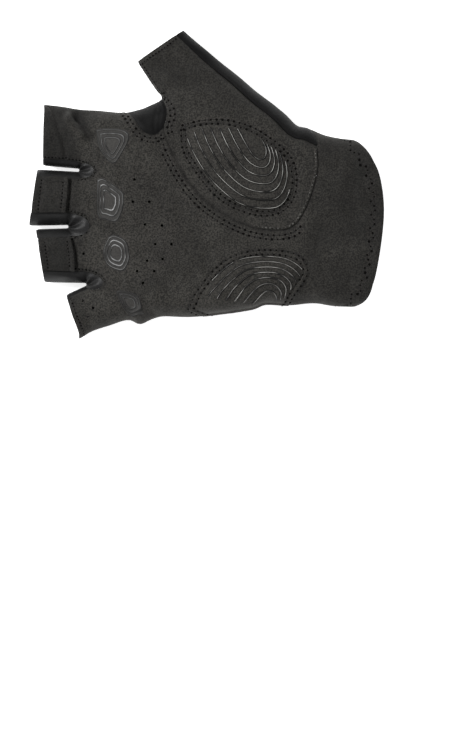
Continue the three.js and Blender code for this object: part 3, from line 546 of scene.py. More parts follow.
# Numbers for one more sheet's spots: those on the side edge take the number of the spot that they meet
def weldedNumbers(spots, top, tops, total, reach=0.3):
    seen = np.vstack(tops)
    tree = KDTree(len(seen))
    for k, spot in enumerate(seen):
        tree.insert(spot, k)
    tree.balance()
    onEdge = np.abs(insideEdge(spots)) < 0.05
    numbers, fresh = np.zeros(len(spots), int), []
    for k in range(len(spots)):
        _, match, gap = tree.find(top[k]) if onEdge[k] else (None, 0, reach)
        if gap < reach:
            numbers[k] = match
        else:
            numbers[k] = total + len(fresh)
            fresh.append(k)
    return numbers, fresh


# The cut edge of the cloth: how much thinner it gets, over how many mm, and how wide its worn rim is
cutEdge = {"thinner": 0.3, "over": 0.5, "rim": 1.1}


# A closed wall of cloth over flat meshes. Sheets that fold over the side edge are welded along it.
def clothPiece(name, material, wall, *sheets):
    tops, feet, faces, cloths, insets = [], [], [], [], []
    total = 0
    for sheet in sheets:
        flat = sheet["flat"]
        spots, inset = flat["spots"], flat["inset"]
        lift = sheet["lift"](spots, inset)
        thinner = cutEdge["thinner"] * np.exp(-(inset / cutEdge["over"]) ** 2)
        top = sheet["place"](spots, lift)
        foot = sheet["place"](spots, lift - wall + thinner)
        numbers, fresh = np.arange(len(spots)), slice(None)
        if tops:
            numbers, fresh = weldedNumbers(spots, top, tops, total)
        these = trueFaces(numbers[flat["faces"]])
        faces.append(these[:, ::-1] if sheet.get("turned") else these)
        tops.append(top[fresh])
        feet.append(foot[fresh])
        cloths.append(spots[fresh])
        insets.append(inset[fresh])
        total += len(tops[-1])
    rim = np.exp(-(np.concatenate(insets) / cutEdge["rim"]) ** 2)
    return meshPiece(
        name, np.vstack(tops + feet), closedFaces(np.vstack(faces), total), material,
        np.vstack(cloths + cloths), {"rim": np.tile(rim, 2), "shade": np.tile(shadeAt(np.vstack(cloths)), 2)},
    )


# Darker cloth towards the cuff, the tips and the thumb's tip: where it begins, over how many mm it comes in, and
# how dark it gets, from 0 to 1
# The rolled edge (width, darkness) gets painted shade; the palm's relief paints shade into hollows and light on
# to ridges
darkeningAndPaintedShade = {"cuff": (38, 20, 0.6), "tips": (52, 12, 0.8), "thumbTip": (20, 30, 0.5), "rolledEdge": (8, 0.3),
        "everywhere": 0.06, "hollows": 0.3}


def shadeAt(spots):
    # painted shade in the hollows of the relief, painted light on its ridges
    shade = darkeningAndPaintedShade["everywhere"] - darkeningAndPaintedShade["hollows"] * palmRelief(spots)
    for name, travel in (("cuff", spots[:, 0]), ("tips", -spots[:, 0]), ("thumbTip", spots[:, 1])):
        start, over, dark = darkeningAndPaintedShade[name]
        shade += dark * smooth((travel - start) / over)
    # painted shade along the rolled side edge
    wide, dark = darkeningAndPaintedShade["rolledEdge"]
    shade += dark * smooth(1 - insideEdge(spots) / wide)
    return np.clip(shade, 0, 1)


# Seeded unevenness from -1 to 1, with its bumps about as far apart as the size says
def softNoise(spots, size, seed):
    lattice = np.random.default_rng(seed).uniform(-1, 1, (96, 96))
    place = spots / size + 48
    cell = np.floor(place).astype(int)
    x, y = smooth(place - cell).T
    i, j = cell[:, 0] % 95, cell[:, 1] % 95
    low = lattice[i, j] * (1 - x) + lattice[i + 1, j] * x
    high = lattice[i, j + 1] * (1 - x) + lattice[i + 1, j + 1] * x
    return low * (1 - y) + high * y


def dip(inset, deep, wide):
    return -deep * np.exp(-(inset / wide) ** 2)


# Unevenness of the cloth: mm between its bumps, their height in mm, and the seed
palmBumps = ((17, 0.42, 3), (6.5, 0.2, 4), (2.6, 0.05, 5))
backBumps = ((21, 0.3, 8), (7, 0.12, 9))
folding = {"strength": 1.5, "calmEdge": 5}


def bumpy(spots, bumps):
    return sum(high * softNoise(spots, apart, seed) for apart, high, seed in bumps)


# Folds of the worn palm as seen from above: from, to, width and height, in mm
palmFolds = {
    "index valley": ((-59.5, 30.5), (-53, 21.5), 2.3, -2.0),
    "index ridge": ((-63.5, 30.5), (-57.5, 22.5), 1.9, 1.4),
    "index outer": ((-72, 30), (-50, 33), 3.0, -0.4),
    "little root": ((-42, -50), (-26, -59), 3.0, -0.6),
    "little outer": ((-38, -62), (-22, -54), 2.6, 0.4),
    "heel": ((24, -44), (66, -30), 6.0, 0.5),
    "wrist": ((44, -52), (52, -20), 5.0, -0.5),
    "cuff": ((58, -40), (62, 6), 6.0, 0.4),
    "thumb root": ((-26, 44), (-6, 40), 3.0, 0.4),
    "thumb bend": ((-20, 56), (6, 34), 4.0, -0.35),
    "middle root": ((-52, -4), (-34, -2), 5.0, 0.3),
    "ring root": ((-48, -32), (-30, -26), 4.5, 0.3),
    "hollow": ((-20, -6), (-2, -36), 8.0, -0.5),
}


def foldAlong(spots, start, stop, wide, high):
    start, stop = np.asarray(start, float), np.asarray(stop, float)
    way = stop - start
    share = ((spots - start) @ way) / (way @ way)
    gap = np.linalg.norm(spots - start - np.clip(share, 0, 1)[:, None] * way, axis=1)
    return high * np.exp(-(gap / wide) ** 2)


def palmRelief(spots):
    relief = bumpy(spots, palmBumps)
    for start, stop, wide, high in palmFolds.values():
        start, stop = seenFromAbove(np.array([start, stop], float))
        relief += folding["strength"] * foldAlong(spots, start, stop, wide, high)
    return relief * smooth(insideEdge(spots) / folding["calmEdge"])


backFolds = {
    "cuff a": ((46, -50), (64, -20), 4.0, 0.6),
    "cuff b": ((50, -10), (70, 2), 3.5, -0.5),
    "knuckles": ((-52, -30), (-44, 24), 7.0, 0.5),
}


def backRelief(spots):
    relief = bumpy(spots, backBumps)
    for fold in backFolds.values():
        relief += foldAlong(spots, *fold)
    return np.minimum(relief, 0) * smooth(insideEdge(spots) / folding["calmEdge"])


# Columns of short hollows knitted into the back, each column half a step off the next
knit = {"columnStep": 5.7, "rowStep": 2.5, "dashLength": 3.9, "dashWidth": 1.15, "deep": 0.6, "swell": 0.16,
        "sunk": 0.16}


def awayFromSeam(inset):
    return smooth((inset - 1.2) / 2)


def knitHollows(spots):  # 1 in each hollow, 0 between them
    x = spots[:, 0] + 0.35 * softNoise(spots, 30, 11)
    y = spots[:, 1] + 0.9 * softNoise(spots, 45, 12)
    column = np.round(x / knit["columnStep"])
    acrossX = x - column * knit["columnStep"] + 0.5 * softNoise(spots, 4, 13)
    row = y / knit["rowStep"] + 0.5 * (column % 2) + 0.12 * softNoise(spots, 5, 14)
    acrossY = (row - np.round(row)) * knit["rowStep"]
    mask = smooth((knit["dashLength"] / 2 + 0.4 - np.abs(acrossX)) / 0.8)
    return mask * smooth((knit["dashWidth"] / 2 + 0.25 - np.abs(acrossY)) / 0.5)


def knitRelief(spots, inset):
    swell = knit["swell"] * np.cos(2 * math.pi * spots[:, 0] / knit["columnStep"])
    return (swell - knit["deep"] * knitHollows(spots) - knit["sunk"]) * awayFromSeam(inset)


# Materials: every pattern is procedural, and the cloth's own values darken its worn rims, paint shade into its
# hollows and rolled edges, and darken it towards the cuff and tips
def newMaterial(name, settings):
    material = bpy.data.materials.new(name)
    material.use_nodes = True
    nodes, links = material.node_tree.nodes, material.node_tree.links
    nodes.clear()
    out, shader = nodes.new("ShaderNodeOutputMaterial"), nodes.new("ShaderNodeBsdfPrincipled")
    links.new(shader.outputs["BSDF"], out.inputs["Surface"])
    for socket, value in settings.items():
        shader.inputs[socket].default_value = value
    return material, nodes, links, shader


def noiseNode(nodes, links, coordinates, scale, detail=3.0, stretch=None):
    noise = nodes.new("ShaderNodeTexNoise")
    noise.inputs["Scale"].default_value = scale
    noise.inputs["Detail"].default_value = detail
    if stretch:
        mapping = nodes.new("ShaderNodeMapping")
        mapping.inputs["Scale"].default_value = stretch
        links.new(coordinates, mapping.inputs["Vector"])
        coordinates = mapping.outputs["Vector"]
    links.new(coordinates, noise.inputs["Vector"])
    return noise.outputs["Fac"]


def rampNode(nodes, links, value, stops):
    ramp = nodes.new("ShaderNodeValToRGB")
    while len(ramp.color_ramp.elements) < len(stops):
        ramp.color_ramp.elements.new(0.5)
    for element, (place, colour) in zip(ramp.color_ramp.elements, stops):
        element.position = place
        element.color = (*colour, 1) if len(colour) == 3 else (colour[0],) * 3 + (1,)
    links.new(value, ramp.inputs["Fac"])
    return ramp.outputs["Color"]


def mathNode(nodes, links, operation, one, two):
    node = nodes.new("ShaderNodeMath")
    node.operation = operation
    for k, value in enumerate((one, two)):
        if isinstance(value, (int, float)):
            node.inputs[k].default_value = value
        else:
            links.new(value, node.inputs[k])
    return node.outputs["Value"]


def mixNode(nodes, links, share, one, two, blend="MIX"):
    node = nodes.new("ShaderNodeMix")
    node.data_type, node.blend_type = "RGBA", blend
    sockets = [node.inputs[0], node.inputs[6], node.inputs[7]]
    for socket, value in zip(sockets, (share, one, two)):
        if isinstance(value, (int, float)):
            socket.default_value = value
        elif isinstance(value, tuple):
            socket.default_value = (*value, 1)
        else:
            links.new(value, socket)
    return node.outputs[2]


def bumpNode(nodes, links, shader, heights, distance, strength=1.0):
    total = heights[0]
    for height in heights[1:]:
        total = mathNode(nodes, links, "ADD", total, height)
    bump = nodes.new("ShaderNodeBump")
    bump.inputs["Strength"].default_value = strength
    bump.inputs["Distance"].default_value = distance
    links.new(total, bump.inputs["Height"])
    links.new(bump.outputs["Normal"], shader.inputs["Normal"])


def attributeNode(nodes, name):
    attribute = nodes.new("ShaderNodeAttribute")
    attribute.attribute_name = name
    return attribute.outputs["Fac"]


def suedeMaterial(name, dark, light, fibre, mottle):
    material, nodes, links, shader = newMaterial(name, {
        "Sheen Weight": 0.1, "Sheen Roughness": 0.5, "Sheen Tint": (0.9, 0.88, 0.82, 1),
        "Specular IOR Level": 0.25,
    })
    place = nodes.new("ShaderNodeTexCoord").outputs["Object"]
    nap, grain = noiseNode(nodes, links, place, 3400, 3), noiseNode(nodes, links, place, 1500, 3)
    patches = noiseNode(nodes, links, place, 85, 4)
    streaks = noiseNode(nodes, links, place, 380, 3, (1, 0.35, 1))
    flecks = rampNode(nodes, links, noiseNode(nodes, links, place, 2600, 1), [(0.7, (0,)), (0.8, (1,))])
    pile = mathNode(nodes, links, "ADD", mathNode(nodes, links, "MULTIPLY", nap, 0.25),
                    mathNode(nodes, links, "MULTIPLY", grain, 0.75))
    base = rampNode(nodes, links, pile, [(0.42, dark), (0.58, light)])
    tone = rampNode(nodes, links, patches, [(0.25, (1 - 0.4 * mottle,)), (0.75, (1 + 0.3 * mottle,))])
    colour = mixNode(nodes, links, 1.0, base, tone, "MULTIPLY")
    colour = mixNode(nodes, links, mathNode(nodes, links, "MULTIPLY", flecks, 0.3), colour, fibre)
    frayed = mathNode(nodes, links, "MULTIPLY", attributeNode(nodes, "rim"), streaks)
    # the shade value: painted shade in hollows and on rolled edges, and darker cloth towards the cuff and tips
    shaded = mathNode(nodes, links, "MULTIPLY", attributeNode(nodes, "shade"), 0.72)
    darker = mathNode(nodes, links, "MAXIMUM", frayed, shaded)
    colour = mixNode(nodes, links, darker, colour, (0.001, 0.001, 0.001))
    links.new(colour, shader.inputs["Base Color"])
    rough = rampNode(nodes, links, streaks, [(0.3, (0.78,)), (0.7, (0.95,))])
    links.new(rough, shader.inputs["Roughness"])
    bumpNode(nodes, links, shader, [nap, mathNode(nodes, links, "MULTIPLY", grain, 1.6)], 0.0001, 0.5)
    return material


def stretchMaterial(name, dark, light, ribs, roughness, gloss=0.25):
    material, nodes, links, shader = newMaterial(name, {
        "Sheen Weight": 0.02, "Sheen Roughness": 0.4, "Specular IOR Level": gloss,
    })
    cloth = nodes.new("ShaderNodeUVMap")
    cloth.uv_map = "cloth"
    place = nodes.new("ShaderNodeTexCoord").outputs["Object"]
    wave = nodes.new("ShaderNodeTexWave")
    wave.bands_direction = "Y"
    wave.inputs["Scale"].default_value = ribs
    wave.inputs["Distortion"].default_value = 0.6
    wave.inputs["Detail"].default_value = 1
    links.new(cloth.outputs["UV"], wave.inputs["Vector"])
    patches = noiseNode(nodes, links, place, 90, 3)
    fine = noiseNode(nodes, links, place, 1800, 2)
    mixed = mathNode(nodes, links, "ADD", mathNode(nodes, links, "MULTIPLY", patches, 0.6),
                     mathNode(nodes, links, "MULTIPLY", fine, 0.4))
    # Painted shade: the knit's hollows are darkened towards black
    hollow = mathNode(nodes, links, "MULTIPLY", attributeNode(nodes, "hollow"), 0.75)
    colour = rampNode(nodes, links, mixed, [(0.35, dark), (0.68, light)])
    colour = mixNode(nodes, links, hollow, colour, (0.002, 0.002, 0.002))
    links.new(colour, shader.inputs["Base Color"])
    rough = rampNode(nodes, links, fine, [(0.3, (roughness - 0.08,)), (0.7, (roughness + 0.1,))])
    links.new(rough, shader.inputs["Roughness"])
    bumpNode(nodes, links, shader, [wave.outputs["Fac"], fine], 0.00005, 0.5)
    return material


def threadMaterial(name, colour, roughness, gloss=1.0):
    material, nodes, links, shader = newMaterial(name, {
        "Sheen Weight": 0.1 * gloss, "Specular IOR Level": 0.35 * gloss,
    })
    place = nodes.new("ShaderNodeTexCoord").outputs["Object"]
    twist = noiseNode(nodes, links, place, 3200, 2)
    darker = tuple(0.6 * part for part in colour)
    rough = rampNode(nodes, links, twist, [(0.3, (roughness - 0.1,)), (0.7, (roughness + 0.1,))])
    links.new(rampNode(nodes, links, twist, [(0.35, darker), (0.7, colour)]), shader.inputs["Base Color"])
    links.new(rough, shader.inputs["Roughness"])
    bumpNode(nodes, links, shader, [twist], 0.0001, 0.6)
    return material


def siliconeMaterial(name, dark, light, roughness, gloss):
    material, nodes, links, shader = newMaterial(name, {"Specular IOR Level": gloss})
    place = nodes.new("ShaderNodeTexCoord").outputs["Object"]
    cloudy = noiseNode(nodes, links, place, 110, 3)
    scuffs = noiseNode(nodes, links, place, 1500, 2)
    rough = rampNode(nodes, links, scuffs, [(0.3, (roughness,)), (0.75, (roughness + 0.25,))])
    # Cloudy patches from dark to light: on the ribs' thin light cord this is a painted highlight that comes and
    # goes
    links.new(rampNode(nodes, links, cloudy, [(0.42, dark), (0.6, light)]), shader.inputs["Base Color"])
    links.new(rough, shader.inputs["Roughness"])
    bumpNode(nodes, links, shader, [scuffs], 0.00006, 0.5)
    return material


suedeLight, suedeFibre = (0.036, 0.0338, 0.0296), (0.08, 0.076, 0.066)
palmSuede = suedeMaterial("palm suede", (0.0075, 0.007, 0.0062), suedeLight, suedeFibre, 0.8)
padSuede = suedeMaterial("pad suede", (0.008, 0.0075, 0.0066), suedeLight, suedeFibre, 0.5)
backKnit = stretchMaterial("back knit", (0.009, 0.009, 0.0095), (0.02, 0.02, 0.021), 9, 0.72)
sideStretch = stretchMaterial("side stretch", (0.0042, 0.0042, 0.0044), (0.0125, 0.0125, 0.0125), 12, 0.5)
# A darker copy of the side stretch: painted shade for the thumb's rolled side, also used on the gusset
thumbStretch = stretchMaterial("thumb stretch", (0.0012, 0.0012, 0.0013), (0.004, 0.004, 0.004), 12, 0.6,
                               gloss=0.12)
cuffStretch = stretchMaterial("cuff stretch", (0.008, 0.008, 0.0085), (0.017, 0.017, 0.017), 12, 0.55)
blackThread = threadMaterial("black thread", (0.014, 0.0135, 0.0125), 0.6, 0.5)
# Painted shade: near-black with no gloss, for the balls that stand for the needle holes
paintedNeedleHoleShade = threadMaterial("needle hole", (0.0055, 0.0054, 0.005), 0.9, 0)
greyThread = threadMaterial("grey thread", (0.1, 0.097, 0.09), 0.5)
ribSilicone = siliconeMaterial("rib silicone", (0.002, 0.002, 0.0019), (0.0065, 0.0063, 0.006), 0.5, 0.14)
# Painted highlight: the ribs' thin light cord
ribPaintedHighlight = siliconeMaterial("rib crest", (0.008, 0.0078, 0.0072), (0.27, 0.265, 0.25), 0.35, 0.4)
print("materials ready")

pieces = {}


def finished(piece, slot, *nodes):
    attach(piece, "root")
    if nodes:
        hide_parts(*nodes)
    pieces[piece.name] = piece
    return piece


# Pull-off tabs across the tips of the two middle fingers
tabs = {
    "wall": 1.0, "length": 14, "bulge": 1.5, "cell": 0.5, "curl": 0.5, "off": 0.1, "swell": 0.3,
    "pucker": 0.08, "puckers": 2.4, "clearOfEnd": 0.15, "clearOfSlit": 0.5,
    "baseRow": 3.0, "edgeRow": 2.2, "rowDeep": 0.25, "rowWide": 0.6,
    "crease": 1.2, "creaseBehind": 0.7, "creaseWide": 0.9, "creaseReach": 22,
}


def tabShape(name):
    end = ends[name]
    width = np.linalg.norm(end["from"] - end["to"])
    middle = (end["from"] + end["to"]) / 2

    def inFrom(spots):
        return -((spots - end["from"]) @ end["out"])

    def freeEdge(spots):
        across = ((spots - middle) @ np.array([end["out"][1], -end["out"][0]])) / width
        return tabs["length"] + tabs["bulge"] * (1 - (2 * across) ** 2) - inFrom(spots)

    return inFrom, freeEdge


# Panels: walls, hollows along the seams and the cells of the back, in mm
panels = {
    "suedeWall": 1.2, "knitWall": 1.1, "stretchWall": 1.0, "seamDeep": 0.5, "seamWide": 0.9,
    "backSeamDeep": 0.35, "backSeamWide": 0.8, "slackHigh": 0.35, "slackApart": 7.5, "backStep": 0.6,
}
# The two rows of stitches on the palm beside the thumb's seam, which run out before the cuff
seamRows = {"palm": (2.3, 4.2), "deep": 0.24, "wide": 0.6, "end": 42, "fade": 6, "sewnFrom": -21, "sewnTo": 44}


def palmLift(spots, inset):
    lift = palmRelief(spots) + dip(inset, panels["seamDeep"], panels["seamWide"])
    off = nearestOn(segmentsOf(thenarSeam), spots)["distance"]
    beforeCuff = smooth((seamRows["end"] - spots[:, 0]) / seamRows["fade"])
    for row in seamRows["palm"]:
        lift -= seamRows["deep"] * np.exp(-((off - row) / seamRows["wide"]) ** 2) * beforeCuff
    ownFinger = smooth((leastOf(palmSlits, 3)(spots) - 0.2) / 1.2) * (insideTip(spots) < tabs["creaseReach"])
    for name in ("middle", "ring"):
        _, freeEdge = tabShape(name)
        behind = (freeEdge(spots) + tabs["creaseBehind"]) / tabs["creaseWide"]
        lift -= tabs["crease"] * ownFinger * np.exp(-behind**2)
    return lift


def backLift(spots, inset):
    return backRelief(spots) + dip(inset, panels["backSeamDeep"], panels["backSeamWide"])


def stretchLift(spots, inset):  # the slack side of the thumb
    slack = panels["slackHigh"] * softNoise(spots, panels["slackApart"], 31)
    return backLift(spots, inset) + slack * smooth(inset / 2)


def knitLift(spots, inset):
    return backLift(spots, inset) + knitRelief(spots, inset)


def palmSheet(rules, lift=palmLift, cell=glove["grid"]):
    return {"flat": cutFlat(rules, cell), "place": onPalm, "lift": lift}


def backSheet(rules, lift=backLift, cell=glove["grid"]):
    return {"flat": cutFlat(rules, cell), "place": onBack, "lift": lift, "turned": True}


palm = clothPiece("palm", palmSuede, panels["suedeWall"], palmSheet(panelRules["palm"]),
                  backSheet(panelRules["palmWrap"]))
thumb = clothPiece("thumb", palmSuede, panels["suedeWall"], palmSheet(panelRules["thumb"]))
gusset = clothPiece("gusset", thumbStretch, panels["stretchWall"], palmSheet(panelRules["gusset"]))
wipe = clothPiece("thumbBack", palmSuede, panels["suedeWall"], backSheet(panelRules["wipe"]))
side = clothPiece("thumbSide", thumbStretch, panels["stretchWall"],
                  backSheet(panelRules["stretch"], stretchLift),
                  palmSheet(panelRules["stretchBand"], stretchLift))
cuff = clothPiece("cuffBack", cuffStretch, panels["stretchWall"], backSheet(panelRules["cuff"]))
backFlat = backSheet(panelRules["back"], knitLift, panels["backStep"])
back = clothPiece("back", backKnit, panels["knitWall"], backFlat)
# Painted shade for the knit's hollows, read by the back knit's colour
hollows = knitHollows(backFlat["flat"]["spots"]) * awayFromSeam(backFlat["flat"]["inset"])
hollowValues = back.data.attributes.new("hollow", "FLOAT", "POINT").data
hollowValues.foreach_set("value", np.tile(hollows, 2).astype(np.float32))
clothPanels = (palm, thumb, gusset, wipe, side, cuff, back)
print("panels cut:", sum(len(piece.data.polygons) for piece in clothPanels), "faces")


# Side walls of the fingers: a strip of stretch cloth along each slit, gathered at its bottom.
# Each soft fold has its place, width and height.
walls = {
    "cell": 0.55, "probeStep": 1.2, "lean": 0.45, "ripple": 0.24, "sunk": 0.1, "seamDeep": 0.45, "seamWide": 0.8,
    "folds": [(-8.5, 1.8, 0.35), (-4.6, 1.3, -0.5), (-1.6, 1.2, 0.6), (1.5, 1.1, -0.6), (4.2, 1.3, 0.5),
              (7.6, 1.6, -0.4)],
}


def slitWall(slit):
    line = stretchLines[slit["name"]]
    rows = []  # each: travel, spot, way inward, place on the slit's line, probe inside the finger
    travel = 0.0
    for a, b, size, at in zip(line["a"], line["b"], line["size"], line["at"]):
        inward = np.array([a[1] - b[1], b[0] - a[0]]) / size
        count = math.ceil(size / walls["probeStep"])
        for k in range(count):
            share = (k + 0.5) / count
            spot = a + share * (b - a)
            probe = spot + glove["wallSpread"] * inward
            travel += np.linalg.norm(probe - rows[-1][6:8]) if rows else 0
            rows.append(np.array([travel, *spot, *inward, at + share * size, *probe]))
    rows = np.array(rows)
    half = crotchAt(slit)

    def edgeAt(t):
        found = np.column_stack([np.interp(t, rows[:, 0], rows[:, k]) for k in range(1, 6)])
        before = np.clip(t - rows[0, 0], None, 0) + np.clip(t - rows[-1, 0], 0, None)
        outmost = np.where((before < 0)[:, None], rows[0, 3:5], rows[-1, 3:5])
        found[:, 0:2] += before[:, None] * np.column_stack([outmost[:, 1], -outmost[:, 0]])
        inward = found[:, 2:4] / np.linalg.norm(found[:, 2:4], axis=1)[:, None]
        return found[:, :2], inward, found[:, 4]

    def place(spots, lift):
        foot, inward, _ = edgeAt(spots[:, 0])
        return rollOver(foot, inward, spots[:, 1], lift)

    def palmLimit(spots):
        return slitWidth(slit, "palm", edgeAt(spots[:, 0])[2]) - glove["seam"] / 2 - spots[:, 1]

    def backLimit(spots):
        return slitWidth(slit, "back", edgeAt(spots[:, 0])[2]) - glove["seam"] / 2 + spots[:, 1]

    def endLimit(spots):
        at = edgeAt(spots[:, 0])[2]
        point = place(spots, np.zeros(len(spots)))[:, :2]
        over, under = ends[slit["above"]], ends[slit["below"]]
        insideOver = -((point - over["from"]) @ over["out"])
        insideUnder = -((point - under["from"]) @ under["out"])
        return np.where(at < half, insideOver, insideUnder)

    middle = np.interp(half, rows[:, 5], rows[:, 0])

    def lift(spots, inset):
        across = spots[:, 0] - middle + walls["lean"] * np.abs(spots[:, 1])
        folds = sum(high * np.exp(-((across - at) / wide) ** 2) for at, wide, high in walls["folds"])
        ripple = softNoise(spots * (0.3, 1), 3.0, 22 + len(slit["name"])) + 0.6 * softNoise(spots, 6, 23)
        calm = smooth(inset / 1.6) * smooth((np.abs(spots[:, 1]) - 0.5) / 2.6)
        rumpled = calm * (folds + walls["ripple"] * ripple) - walls["sunk"] * smooth(inset / 2)
        return rumpled + dip(inset, walls["seamDeep"], walls["seamWide"])

    widest = glove["palmWidth"] * max(slit["palm"][1], slit["back"][1]) + 2
    low, high = (-2, -widest), (rows[-1, 0] + 2, widest)
    flat = cutFlat([palmLimit, backLimit, endLimit], walls["cell"], low, high, False)
    return clothPiece(slit["name"] + "Wall", sideStretch, panels["stretchWall"],
                      {"flat": flat, "place": place, "lift": lift})


fingerWalls = {slit["name"]: slitWall(slit) for slit in slits}
print("side walls cut")


# Gel pads: a sewn rim, a stitched channel and the swollen gel inside it
pads = {
    "cell": 0.5, "rim": 0.12, "flange": 0.7, "flangeIn": 0.9, "channel": 0.4, "channelWide": 0.55,
    "high": 3.3, "swell": 8.5, "gelIn": 0.9, "thenarRows": (-0.9, 1.1), "hypothenarRows": (0.8, 2.7),
}
thenarPadRows = [
    (-0.066, 0.27), (-0.021, 0.29), (0.021, 0.297), (0.068, 0.291), (0.136, 0.255), (0.203, 0.177),
    (0.238, 0.11),
    (0.25, 0.022), (0.24, -0.07), (0.205, -0.13), (0.15, -0.142), (0.083, -0.109), (0.026, -0.045),
    (-0.03, 0.073), (-0.062, 0.17),
]
hypothenarPadRows = [
    (-0.062, -0.585), (-0.035, -0.52), (0.018, -0.407), (0.07, -0.343), (0.13, -0.313), (0.2, -0.311),
    (0.262, -0.335), (0.29, -0.4), (0.283, -0.46), (0.25, -0.52), (0.21, -0.6), (0.07, -0.66),
]


def padLift(spots, inset, stitchRows):
    flange = pads["rim"] + (pads["flange"] - pads["rim"]) * smooth(inset / pads["flangeIn"])
    for row in stitchRows:
        flange -= pads["channel"] * np.exp(-((inset - row) / pads["channelWide"]) ** 2)
    inner = stitchRows[-1] + pads["gelIn"]
    rise = np.sin(np.clip((inset - inner) / pads["swell"], 0, 1) * math.pi / 2)
    gel = (pads["high"] - pads["flange"]) * rise
    return palmRelief(spots) + flange + gel


def gelPad(name, rows):
    closed = lineThrough(inPlan(rows + rows[:1]))
    flat = cutFlat([region(closed), lambda spots: insideEdge(spots) - 0.5], pads["cell"])
    spots, inset = flat["spots"], flat["inset"]
    top = onPalm(spots, padLift(spots, inset, pads[name[:-3] + "Rows"]))
    foot = onPalm(spots, palmRelief(spots) + 0.04 - 0.3 * np.exp(-(inset / 0.6) ** 2))
    rim = np.exp(-((inset - 0.2) / 0.8) ** 2)
    faces = closedFaces(flat["faces"], len(spots))
    cloth = np.vstack([spots, spots])
    piece = meshPiece(name, np.vstack([top, foot]), faces, padSuede, cloth, {"rim": np.tile(rim, 2)}, 60)
    return piece, closed


thenarPad, thenarRim = gelPad("thenarPad", thenarPadRows)
hypothenarPad, hypothenarRim = gelPad("hypothenarPad", hypothenarPadRows)
print("pads shaped")


def pullTab(name):
    inFrom, freeEdge = tabShape(name)
    end = ends[name]
    across = np.array([end["out"][1], -end["out"][0]])
    middle = (end["from"] + end["to"]) / 2 - end["out"] * tabs["length"] / 2
    rules = [freeEdge, lambda spots: inFrom(spots) - tabs["clearOfEnd"]]
    rules += [lambda spots, rule=rule: rule(spots) - tabs["clearOfSlit"] for rule in palmSlits]
    flat = cutFlat(rules, tabs["cell"], middle - 16, middle + 16, False)

    def lift(spots, inset):
        toBase, toEdge = inFrom(spots), freeEdge(spots)
        puckers = tabs["pucker"] * np.sin(spots @ across * tabs["puckers"]) * np.exp(-inset / 2.5)
        swell = tabs["swell"] * smooth((toBase - 3) / 4) + tabs["curl"] * np.exp(-(toEdge / 1.6) ** 2)
        for off in (toEdge - tabs["edgeRow"], toBase - tabs["baseRow"]):
            puckers -= tabs["rowDeep"] * np.exp(-(off / tabs["rowWide"]) ** 2)
        return palmRelief(spots) + tabs["off"] + tabs["wall"] + swell + puckers + dip(inset, 0.2, 0.4)

    sheet = {"flat": flat, "place": onPalm, "lift": lift}
    return clothPiece(name + "PullTab", palmSuede, tabs["wall"], sheet)


tabPieces = {name: pullTab(name) for name in ("middle", "ring")}

# Printed grip patches at the finger roots: each has three raised rings, as shares of its outline
# Beside each ring lies a halo of painted shade: its width and how far out it sits
grips = {
    "film": 0.12, "edge": 0.35, "sunk": 0.05, "ring": 0.36, "ringWidth": 0.24, "rings": (0.95, 0.72, 0.46),
    "halo": 0.55, "haloOut": 0.25, "reach": 1.04, "around": 90, "outwards": 56,
}
# Where each patch lies, how bright the painted highlight on each of its rings is, outer one first, and its
# outline, in mm from its middle
gripPatches = {
    "index": {"middle": (-43.4, 17.8), "light": (0.25, 0.4, 0.3), "rim": [
        (-7, 6.9), (-1, 7.4), (6, 6.4), (7.8, 3), (4.8, -3.2), (1.6, -8), (-1.2, -7.4), (-5.6, -1.2)]},
    "middle": {"middle": (-44.7, -7.7), "light": (0.35, 0.7, 0.95), "rim": [
        (-5.2, 9.5), (-2.4, 9.9), (5.2, 4.6), (6.7, 1.6), (6, -4.8), (3.2, -9.4), (-1.6, -8.4), (-5, -6)]},
    "ring": {"middle": (-41.5, -31.7), "light": (0.35, 0.8, 0.95), "rim": [
        (-3.2, 7.2), (-0.6, 8), (4.6, 5), (6, -2.2), (4, -7.2), (1, -7.8), (-4, -5), (-5.6, 1.2)]},
    "little": {"middle": (-35.3, -54.7), "light": (0.12, 0.2, 0.3), "rim": [
        (-5.9, 5), (-3.6, 5.6), (3.4, 3.6), (5.6, -2), (4.6, -4.6), (0.4, -5.2), (-3.2, -1.6)]},
}


def gripPatch(name, patch):
    rows, middle = patch["rim"], np.array(patch["middle"])
    count = grips["around"]
    rim = evenly(lineThrough(rows + rows[:1], 0.2), 0.1)
    rim = rim[np.linspace(0, len(rim) - 1, count, endpoint=False).astype(int)]
    reach = np.linalg.norm(rim, axis=1).mean()
    out = np.linspace(0, grips["reach"], grips["outwards"])[1:]
    spots = seenFromAbove(np.vstack([middle, *[middle + rim * share for share in out]]))
    share = np.concatenate([[0], np.repeat(out, count)])
    offs = [(share - ring) * reach for ring in grips["rings"]]
    rings = [np.exp(-(off / grips["ringWidth"]) ** 2) for off in offs]
    # Painted highlight along the rings, and painted shade in a halo beside each
    light = sum(ring * strength for ring, strength in zip(rings, patch["light"]))
    halo = sum(np.exp(-((off - grips["haloOut"]) / grips["halo"]) ** 2) for off in offs)
    film = grips["film"] * smooth((grips["reach"] - share) * reach / grips["edge"])
    top = onPalm(spots, palmRelief(spots) + 0.02 + film + grips["ring"] * sum(rings))
    foot = onPalm(spots, palmRelief(spots) - grips["sunk"])
    k = np.arange(count)
    on = (k + 1) % count
    faces = [np.column_stack([0 * k, 1 + k, 1 + on])]
    for step in range(len(out) - 1):
        p, q = 1 + step * count, 1 + (step + 1) * count
        faces.append(np.column_stack([p + k, q + k, p + on]))
        faces.append(np.column_stack([p + on, q + k, q + on]))
    none = np.zeros(len(spots))
    values = {"ring": np.concatenate([light, none]), "halo": np.concatenate([halo, none])}
    faces = closedFaces(np.vstack(faces), len(spots))
    cloth = np.vstack([spots, spots])
    return meshPiece(name + "Grip", np.vstack([top, foot]), faces, gripPrint, cloth, values, 70)


